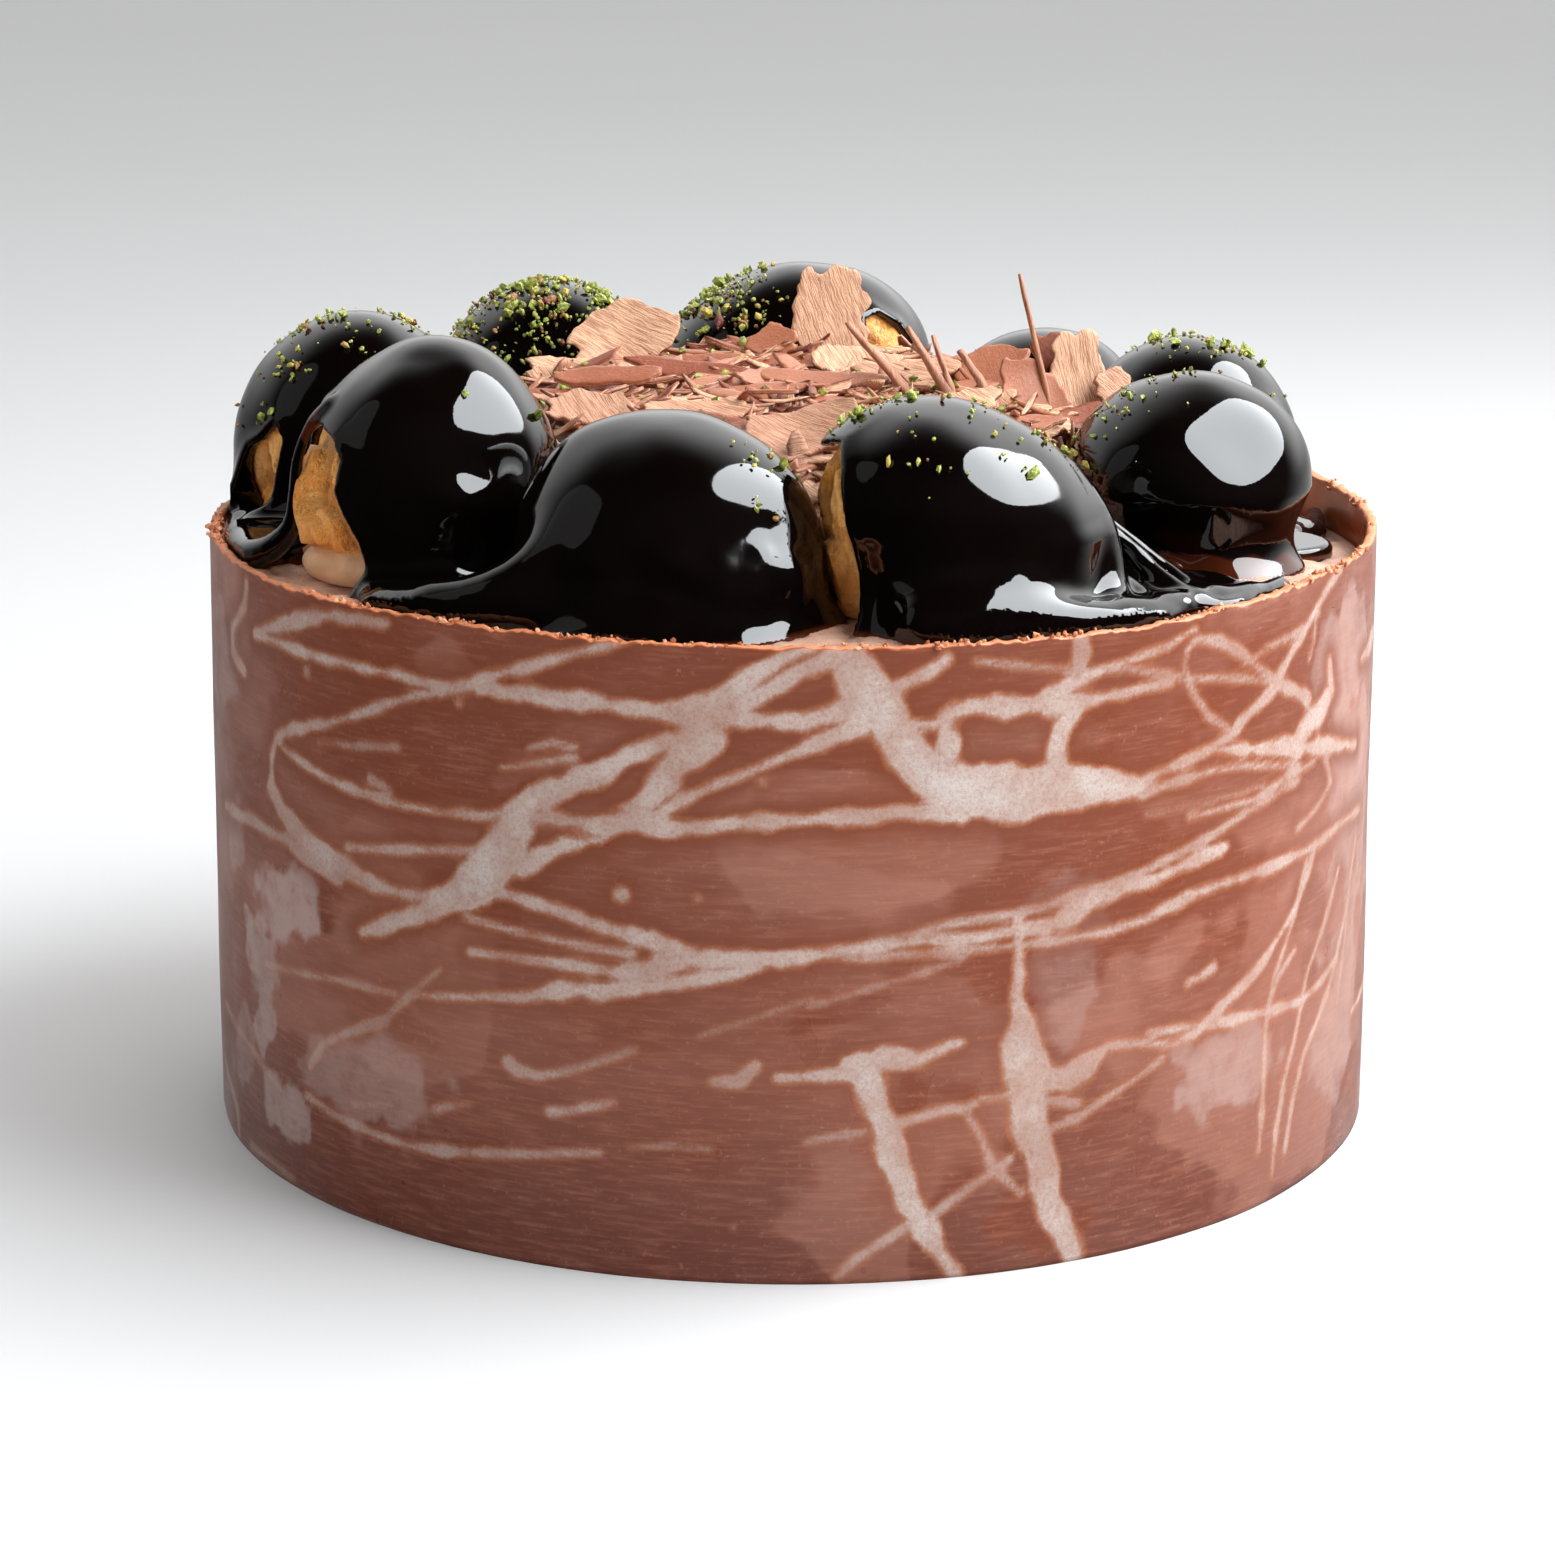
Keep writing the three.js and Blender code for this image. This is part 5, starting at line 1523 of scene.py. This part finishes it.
def scatter(tree, surface, kinds, finish, most, smallest, largest, tilt, lift, heap, seed):
    """Runs the tree on a mesh and returns the small pieces as one plain mesh. Lengths are in
    millimetres, tilt in degrees, and most is the number on a square centimetre."""
    drawer = bpy.data.collections.new("kinds")
    for i, (points, faces, fields) in enumerate(kinds):
        name = f"kind_{i}"
        shape = mesh_from(name, points, faces, fields, flat=not fields)
        drawer.objects.link(bpy.data.objects.new(name, shape))
    carrier = bpy.data.objects.new("carrier", surface.copy())
    bpy.context.scene.collection.objects.link(carrier)
    modifier = carrier.modifiers.new("scatter", "NODES")
    modifier.node_group = tree
    values = {
        "Kinds": drawer, "Most per square metre": most * CM2_PER_M2, "Smallest": smallest,
        "Largest": largest, "Tilt": math.radians(tilt), "Lift": lift * MM, "Heap": heap * MM,
        "Seed": seed, "Finish": finish,
    }
    for item in tree.interface.items_tree:
        if item.item_type == "SOCKET" and item.in_out == "INPUT" and item.name in values:
            modifier[item.identifier] = values[item.name]
    carrier.update_tag()
    bpy.context.view_layer.update()
    depsgraph = bpy.context.evaluated_depsgraph_get()
    mesh = bpy.data.meshes.new_from_object(carrier.evaluated_get(depsgraph))
    carrier.modifiers.remove(modifier)
    bpy.data.objects.remove(carrier)
    for shape in list(drawer.objects):
        bpy.data.objects.remove(shape)
    bpy.data.collections.remove(drawer)
    return mesh


# ---- Finishes --------------------------------------------------------------------------------


def glaze_finish():
    """Nearly black, wet chocolate glaze, brown where it is thin."""
    f = Finish("dark_chocolate_glaze", Roughness=0.045, IOR=1.5)
    thin = f.ramp(f.field("thin"), 0.25, 1.1)
    colour = f.blend(thin, (0.05, 0.010, 0.003), (0.0022, 0.0012, 0.0010))
    smear = f.noise(55, 2.0)
    rough = f.ramp(smear, 0.45, 0.8, 0.035, 0.10)
    normal = f.relief(f.noise(900, 2.0), 0.006)
    return f.done(colour, rough, normal)


def pastry_finish():
    """Baked choux: golden, toasted towards its foot, with painted shade in the cracks."""
    f = Finish("baked_choux", IOR=1.4)
    patches = f.ramp(f.noise(130, 4.0, 0.6), 0.34, 0.66)
    colour = f.blend(patches, (0.98, 0.57, 0.19), (0.94, 0.37, 0.07))
    high = f.ramp(f.field("height"), -0.2, 1.2)
    colour = f.over(colour, high, 0.25, (0.66, 0.23, 0.045))
    colour = f.over(colour, f.field("low"), 0.42, (0.78, 0.23, 0.032))
    # Painted shade: the deepest cracks of the crust are darkened.
    dark = f.ramp(f.field("height"), -2.4, -0.9, 1.0, 0.0)
    colour = f.over(colour, dark, 0.6, (0.26, 0.085, 0.022))
    specks = f.ramp(f.noise(1500, 3.0), 0.5, 0.75)
    colour = f.over(colour, specks, 0.18, (0.36, 0.11, 0.02))
    streaky = f.noise(700, 4.0, 0.6, place=f.stretched(1, 1, 0.35))
    furrowed = f.ramp(streaky, 0.46, 0.66)
    colour = f.over(colour, furrowed, 0.5, (0.58, 0.19, 0.04))
    normal = f.relief(streaky, 0.9)
    normal = f.relief(f.noise(260, 4.0, 0.65), 1.6, normal)
    normal = f.relief(f.noise(2600, 3.0), 0.16, normal)
    rough = f.ramp(f.noise(240), 0.3, 0.7, 0.42, 0.62)
    return f.done(colour, rough, normal)


def mousse_finish():
    """Matt chocolate mousse, with painted shade in its pits."""
    f = Finish("chocolate_mousse", Roughness=0.62, IOR=1.42)
    patches = f.ramp(f.noise(180, 4.0), 0.3, 0.7)
    colour = f.blend(patches, (0.60, 0.33, 0.225), (0.70, 0.42, 0.30))
    # Painted shade: the pits are darkened.
    low = f.ramp(f.field("height"), -0.8, 0.1, 1.0, 0.0)
    colour = f.over(colour, low, 0.5, (0.27, 0.10, 0.06))
    normal = f.relief(f.noise(900, 4.0, 0.65), 0.5)
    normal = f.relief(f.noise(2800, 2.0), 0.12, normal)
    return f.done(colour, None, normal)


def filling_finish():
    """Smooth, soft chocolate cream."""
    f = Finish("soft_cream", Roughness=0.38, IOR=1.42)
    colour = f.blend(f.ramp(f.noise(160, 3.0), 0.35, 0.65), (0.66, 0.38, 0.20), (0.78, 0.48, 0.28))
    return f.done(colour, None, f.relief(f.noise(350, 3.0), 0.35))


def collar_finish():
    """Set milk chocolate with pale streaks, dull patches and a raw orange-brown cut edge."""
    f = Finish("marbled_chocolate", IOR=1.46)
    height = f.node("ShaderNodeSeparateXYZ", {0: f.place}, output=2)
    broad = f.ramp(f.noise(26, 4.0, 0.6, place=f.stretched(1, 1, 1.8)), 0.3, 0.7)
    colour = f.blend(broad, (0.205, 0.064, 0.038), (0.265, 0.096, 0.063))
    # Painted shade: darker towards the foot, where the collar stands on the floor.
    foot = f.ramp(height, 0.0, 0.042, 1.0, 0.0)
    colour = f.over(colour, foot, 0.72, (0.115, 0.032, 0.022))
    # Clear patches, where the chocolate is dark and red, lie mostly high up.
    lift = f.ramp(height, 0.030, 0.100, -0.10, 0.07)
    clear = f.math("ADD", f.noise(24, 3.0, 0.55, place=f.stretched(1, 1, 1.4)), lift)
    clear = f.ramp(clear, 0.50, 0.545)
    colour = f.over(colour, clear, 0.8, (0.185, 0.043, 0.019))
    film = f.ramp(f.noise(17, 3.0, 0.5, place=f.stretched(1, 1, 1.2)), 0.56, 0.585)
    colour = f.over(colour, film, 0.30, (0.42, 0.19, 0.135))
    brushed = f.noise(150, 4.0, 0.6, place=f.stretched(1, 1, 9))
    colour = f.blend(f.ramp(brushed, 0.42, 0.75, 0.0, 0.30), colour, (0.46, 0.185, 0.115))
    specks = f.ramp(f.noise(900, 5.0, 0.7), 0.56, 0.74)
    colour = f.over(colour, specks, 0.35, (0.50, 0.24, 0.165))
    dull = f.field("bloom")
    flaky = f.ramp(f.noise(210, 4.0, 0.7), 0.30, 0.55, 0.55, 1.0)
    colour = f.over(colour, f.times(dull, flaky), 0.68, (0.50, 0.375, 0.34))

    # The streaks: reddish beside them, orange at their edge, and milky inside.
    edge, strength = f.field("edge"), f.field("strength")
    ragged = f.times(f.math("SUBTRACT", f.noise(1300, 5.0, 0.75), 0.5), 1.3)
    fur = f.math("ADD", edge, ragged)
    shade = f.times(f.ramp(edge, 0.3, 5.5, 1.0, 0.0), strength)
    shade = f.times(shade, f.ramp(height, 0.02, 0.075, 0.15, 0.9))
    colour = f.blend(shade, colour, (0.195, 0.048, 0.021))
    halo = f.times(f.ramp(fur, 0.2, 0.9, 1.0, 0.0), strength)
    colour = f.over(colour, halo, 0.42, (0.45, 0.16, 0.065))
    inside = f.ramp(fur, -0.75, 0.35, 1.0, 0.0)
    milky = f.ramp(f.noise(85, 4.0, 0.65), 0.28, 0.68, 0.50, 1.0)
    grain = f.ramp(f.noise(1500, 4.0, 0.75), 0.34, 0.56, 0.62, 1.0)
    pale = f.times(f.times(inside, strength), f.times(milky, grain))
    deep = f.ramp(edge, -3.5, -0.5, 1.0, 0.0)
    streak = f.blend(deep, (0.52, 0.42, 0.375), (0.55, 0.49, 0.455))
    # Painted glints: small bright flecks in the streaks.
    painted_glints = f.ramp(f.noise(2400, 3.0, 0.7), 0.60, 0.70)
    streak = f.over(streak, painted_glints, 0.55, (0.80, 0.72, 0.68))
    colour = f.over(colour, pale, 0.94, streak)

    # The broken rim is raw, and the inner wall orange-brown.
    cut = f.field("cut")
    raw = f.ramp(cut, 0.55, 0.9)
    broken = f.blend(f.noise(1300, 3.0), (0.46, 0.13, 0.045), (0.80, 0.30, 0.13))
    colour = f.blend(raw, colour, broken)
    inner = f.times(f.ramp(cut, 0.2, 0.45), f.ramp(cut, 0.55, 0.9, 1.0, 0.0))
    colour = f.blend(inner, colour, (0.42, 0.095, 0.028))

    gloss = f.ramp(f.noise(60, 3.0), 0.3, 0.7, 0.26, 0.40)
    rough = f.math("ADD", gloss, f.times(dull, 0.18))
    rough = f.math("MAXIMUM", rough, f.times(raw, 0.6))
    normal = f.relief(f.noise(110, 3.0), 0.10)
    normal = f.relief(brushed, 0.05, normal)
    normal = f.relief(f.times(inside, f.noise(1100, 4.0, 0.7)), 0.09, normal)
    return f.done(colour, rough, normal)


def shaving_finish():
    """Milk chocolate: pale with a fine wavy grain where it was scraped, darker and smoother
    behind, and with painted shade on the core deep in the heap."""
    f = Finish("scraped_chocolate", IOR=1.45)
    scraped = f.ramp(f.field("scraped"), 0.3, 0.7)
    tint = f.field("tint")
    across, along = f.field("across"), f.field("along")
    own = f.times(tint, 40.0)
    place = f.node("ShaderNodeCombineXYZ", {0: across, 1: along, 2: own})
    waved = f.math("ADD", across, f.times(f.noise(0.2, 2.0, place=place), 1.3))
    stretched = {0: f.times(waved, 3.4), 1: f.times(along, 0.22), 2: own}
    grain = f.noise(1.0, 4.0, 0.62, place=f.node("ShaderNodeCombineXYZ", stretched))
    pale = f.blend(f.ramp(grain, 0.34, 0.62), (0.40, 0.165, 0.084), (0.80, 0.475, 0.295))
    smooth_face = f.blend(f.ramp(tint, 0.2, 0.8), (0.235, 0.052, 0.020), (0.50, 0.172, 0.080))
    colour = f.blend(scraped, smooth_face, pale)
    colour = f.blend(f.ramp(tint, 0.25, 1.0, 0.0, 0.55), colour, (0.27, 0.085, 0.042))
    dust = f.ramp(f.noise(1400, 4.0, 0.7), 0.5, 0.72)
    colour = f.over(colour, dust, 0.20, (0.72, 0.44, 0.29))
    # Painted shade: the core of the heap, marked deep, is darkened as the shade between the shavings.
    colour = f.over(colour, f.field("deep"), 0.85, (0.14, 0.034, 0.015))
    rough = f.ramp(scraped, 0.0, 1.0, 0.40, 0.72)
    depth = f.times(grain, f.ramp(scraped, 0.0, 1.0, 0.25, 1.0))
    normal = f.relief(depth, 0.30)
    normal = f.relief(f.noise(1500, 4.0, 0.7), 0.14, normal)
    return f.done(colour, rough, normal)


def pistachio_finish():
    """Bright green kernel, some yellow, with a few brown and purple skins."""
    f = Finish("chopped_pistachio", Roughness=0.42, IOR=1.45)
    tint = f.field("tint")
    mottle = f.ramp(f.noise(1300, 3.0), 0.32, 0.68)
    colour = f.blend(mottle, (0.15, 0.20, 0.020), (0.52, 0.54, 0.11))
    colour = f.blend(f.ramp(tint, 0.55, 0.84), colour, (0.62, 0.48, 0.09))
    colour = f.blend(f.ramp(tint, 0.80, 0.84), colour, (0.36, 0.18, 0.05))
    colour = f.blend(f.ramp(tint, 0.95, 0.97), colour, (0.17, 0.03, 0.022))
    return f.done(colour, None, f.relief(f.noise(2300, 4.0, 0.7), 0.3))


def crumb_finish():
    """Crumbs of raw chocolate, as broken off the rim."""
    f = Finish("chocolate_crumbs", Roughness=0.7, IOR=1.45)
    colour = f.blend(f.ramp(f.field("tint"), 0.1, 0.9), (0.40, 0.11, 0.04), (0.80, 0.36, 0.18))
    return f.done(colour, None, f.relief(f.noise(2200, 3.0), 0.12))


def floor_finish():
    """Plain and pale."""
    f = Finish("pale_floor", Roughness=0.7)
    return f.done(f.blend(f.noise(3.0, 2.0), (0.66, 0.66, 0.66), (0.69, 0.69, 0.69)))


# ---- The pieces ------------------------------------------------------------------------------


def make_cake():
    """The collar, which is returned, the mousse, the pressed cream and the profiteroles."""
    choux = pastry_finish()
    collar = make_piece("collar", collar_mesh(), collar_finish(), "chocolate_collar", ["chocolate_collar"])
    make_piece("mousse", mousse_mesh(), mousse_finish(), "mousse", ["cake_body"])
    make_piece("pressed_cream", filling_mesh(), filling_finish(), "cream", ["cream_filling"])
    for puff in ALL_PUFFS:
        rows, around = (120, 220) if puff.patches else (28, 48)
        name = f"profiterole_{puff.index + 1}"
        make_piece(f"baked_{name}", pastry_mesh(puff, rows, around), choux, "choux", [name])
    return collar


def make_glaze(tree):
    """The pours of glaze, with coarse and fine pistachio on each."""
    glaze, green = glaze_finish(), pistachio_finish()
    coarse = [crumb_shape(seed, 0.6 + 0.08 * seed) for seed in range(6)]
    fine = [crumb_shape(50 + seed, 0.8, 0) for seed in range(4)]
    # Both sizes: name, kinds of crumb, the most on a square centimetre, smallest and largest.
    sizes = (("coarse", coarse, 10, 0.6, 2.0), ("fine", fine, 48, 0.25, 0.95))
    earlier = []
    for i, name in enumerate(POURS):
        mesh = glaze_mesh(name, earlier)
        make_piece(f"poured_{name}", mesh, glaze, "glaze", [name])
        for size, kinds, most, low, high in sizes:
            crumbs = scatter(
                tree, mesh, kinds, green, most, low, high, tilt=70, lift=0.2, heap=0.5, seed=90 + i
            )
            if len(crumbs.vertices):
                make_piece(f"{size}_pistachio_{name}", crumbs, green, None, [name])
        earlier.append(name)


def make_shavings(tree, collar):
    """The heap of shavings, the pistachio on it, and the crumbs along the rim of the collar."""
    heap = ("shavings", ["chocolate_shavings"])
    scraped = shaving_finish()
    bed = bed_mesh()
    make_piece("shavings_core", bed, scraped, *heap)
    make_piece("large_shavings", big_shavings_mesh(), scraped, *heap)
    make_piece("splinters", splinters_mesh(), scraped, *heap)
    flakes = [
        shaving(12 + 3 * (i % 4), 3.2 + 1.3 * (i % 3), 0.9, 0.01, 300 + i, i % 2, 30 * (i % 4), 0.5, 1.2)
        for i in range(10)
    ]
    loose = scatter(
        tree, bed, flakes, scraped, most=4.5, smallest=0.5, largest=1.1, tilt=15, lift=1.2, heap=3.2,
        seed=11,
    )
    make_piece("loose_shavings", loose, scraped, *heap)
    slivers = [shaving(9 + 2 * i, 1.1 + 0.25 * i, 0.8, 0.01, 340 + i, i % 2, 0, 0.6, 1.3) for i in range(5)]
    thin = scatter(
        tree, bed, slivers, scraped, most=6.0, smallest=0.4, largest=1.1, tilt=20, lift=2.0, heap=3.6,
        seed=12,
    )
    make_piece("slivers", thin, scraped, *heap)
    green = pistachio_finish()
    kinds = [crumb_shape(seed, 0.8) for seed in range(4)]
    fallen = scatter(
        tree, bed, kinds, green, most=3.0, smallest=0.7, largest=2.2, tilt=70, lift=3.4, heap=2.4,
        seed=14,
    )
    make_piece("pistachio_on_shavings", fallen, green, None, ["chocolate_shavings"])
    brown = crumb_finish()
    kinds = [crumb_shape(20 + i, 0.7) for i in range(4)]
    crumbs = scatter(
        tree, collar.data, kinds, brown, most=55, smallest=0.25, largest=1.2, tilt=80, lift=0.1,
        heap=0.3, seed=13,
    )
    make_piece("rim_crumbs", crumbs, brown, "chocolate_collar", ["chocolate_collar"])


# ---- Floor, light and camera -----------------------------------------------------------------


def make_floor():
    """A wide plain floor, just under the cake."""
    half, level = 9000.0, -0.05
    corners = [(-half, -half, level), (half, -half, level), (half, half, level), (-half, half, level)]
    mesh = mesh_from("floor", corners, [[[0, 1, 2, 3]]])
    mesh.materials.append(floor_finish())
    floor = bpy.data.objects.new("floor", mesh)
    bpy.context.scene.collection.objects.link(floor)
    floor.visible_glossy = False


def soft_light(name, bearing, elevation, away, size, colour, watts, gleam_only):
    """One of the soft lights; a gleam is oval and lights nothing."""
    light = bpy.data.lights.new(name, "AREA")
    light.shape = "ELLIPSE" if gleam_only else "RECTANGLE"
    light.size, light.size_y = size
    light.color = colour
    light.energy = watts
    lamp = bpy.data.objects.new(name, light)
    a, e = math.radians(bearing), math.radians(elevation)
    outwards = np.array([math.sin(a) * math.cos(e), -math.cos(a) * math.cos(e), math.sin(e)])
    place = np.array([0, 0, LIT_HEIGHT]) + outwards * away
    side = np.cross([0, 0, 1], outwards)
    length = np.linalg.norm(side)
    side = side / length if length > 1e-6 else np.array([1.0, 0, 0])
    turned = np.stack([side, np.cross(outwards, side), outwards], axis=1)
    lamp.matrix_world = Matrix.Translation(place) @ Matrix(turned.tolist()).to_4x4()
    lamp.visible_camera = False
    if gleam_only:
        lamp.visible_diffuse = False
    else:
        lamp.visible_glossy = False
    bpy.context.scene.collection.objects.link(lamp)


def make_light():
    """The soft lights, and a room that is bright behind the cake and dark overhead."""
    for light in LIGHTS:
        soft_light(*light)
    world = bpy.data.worlds.new("room")
    bpy.context.scene.world = world
    world.use_nodes = True
    room = Nodes(world.node_tree)
    direction = room.node("ShaderNodeTexCoord", output="Generated")
    axis = room.node("ShaderNodeSeparateXYZ", {0: direction}).node.outputs
    behind = room.ramp(axis["Y"], 0.0, 0.6, 0.03, 2.3)
    low = room.ramp(axis["Z"], 0.62, 0.99, 1.0, 0.02)
    level = room.ramp(axis["Z"], -0.05, 0.35, 0.28, 1.0)
    sideways = room.ramp(axis["X"], -0.9, 0.6, 0.4, 1.1)
    strength = room.times(room.times(behind, low), room.times(level, sideways))
    background = next(n for n in world.node_tree.nodes if n.type == "BACKGROUND").inputs
    background["Color"].default_value = (1, 1, 1, 1)
    room.feed(background["Strength"], strength)


def make_camera():
    """A long lens at the front, a little above the cake, where the photo was taken from."""
    right, up, ahead = camera_axes()
    camera = bpy.data.cameras.new("camera")
    camera.sensor_width = 36.0
    camera.lens = PHOTO_FOCUS / PHOTO_WIDTH * camera.sensor_width
    camera.clip_start, camera.clip_end = 0.01, 100.0
    seen = bpy.data.objects.new("camera", camera)
    turned = Matrix(np.stack([right, up, -ahead], axis=1).tolist()).to_4x4()
    seen.matrix_world = Matrix.Translation((0, -CAMERA_AWAY * MM, CAMERA_HIGH * MM)) @ turned
    bpy.context.scene.collection.objects.link(seen)
    bpy.context.scene.camera = seen


make_floor()
make_light()
make_camera()
lay = scatter_tree()
the_collar = make_cake()
make_glaze(lay)
make_shavings(lay, the_collar)

bpy.context.scene.view_settings.view_transform = "Standard"
bpy.context.view_layer.update()
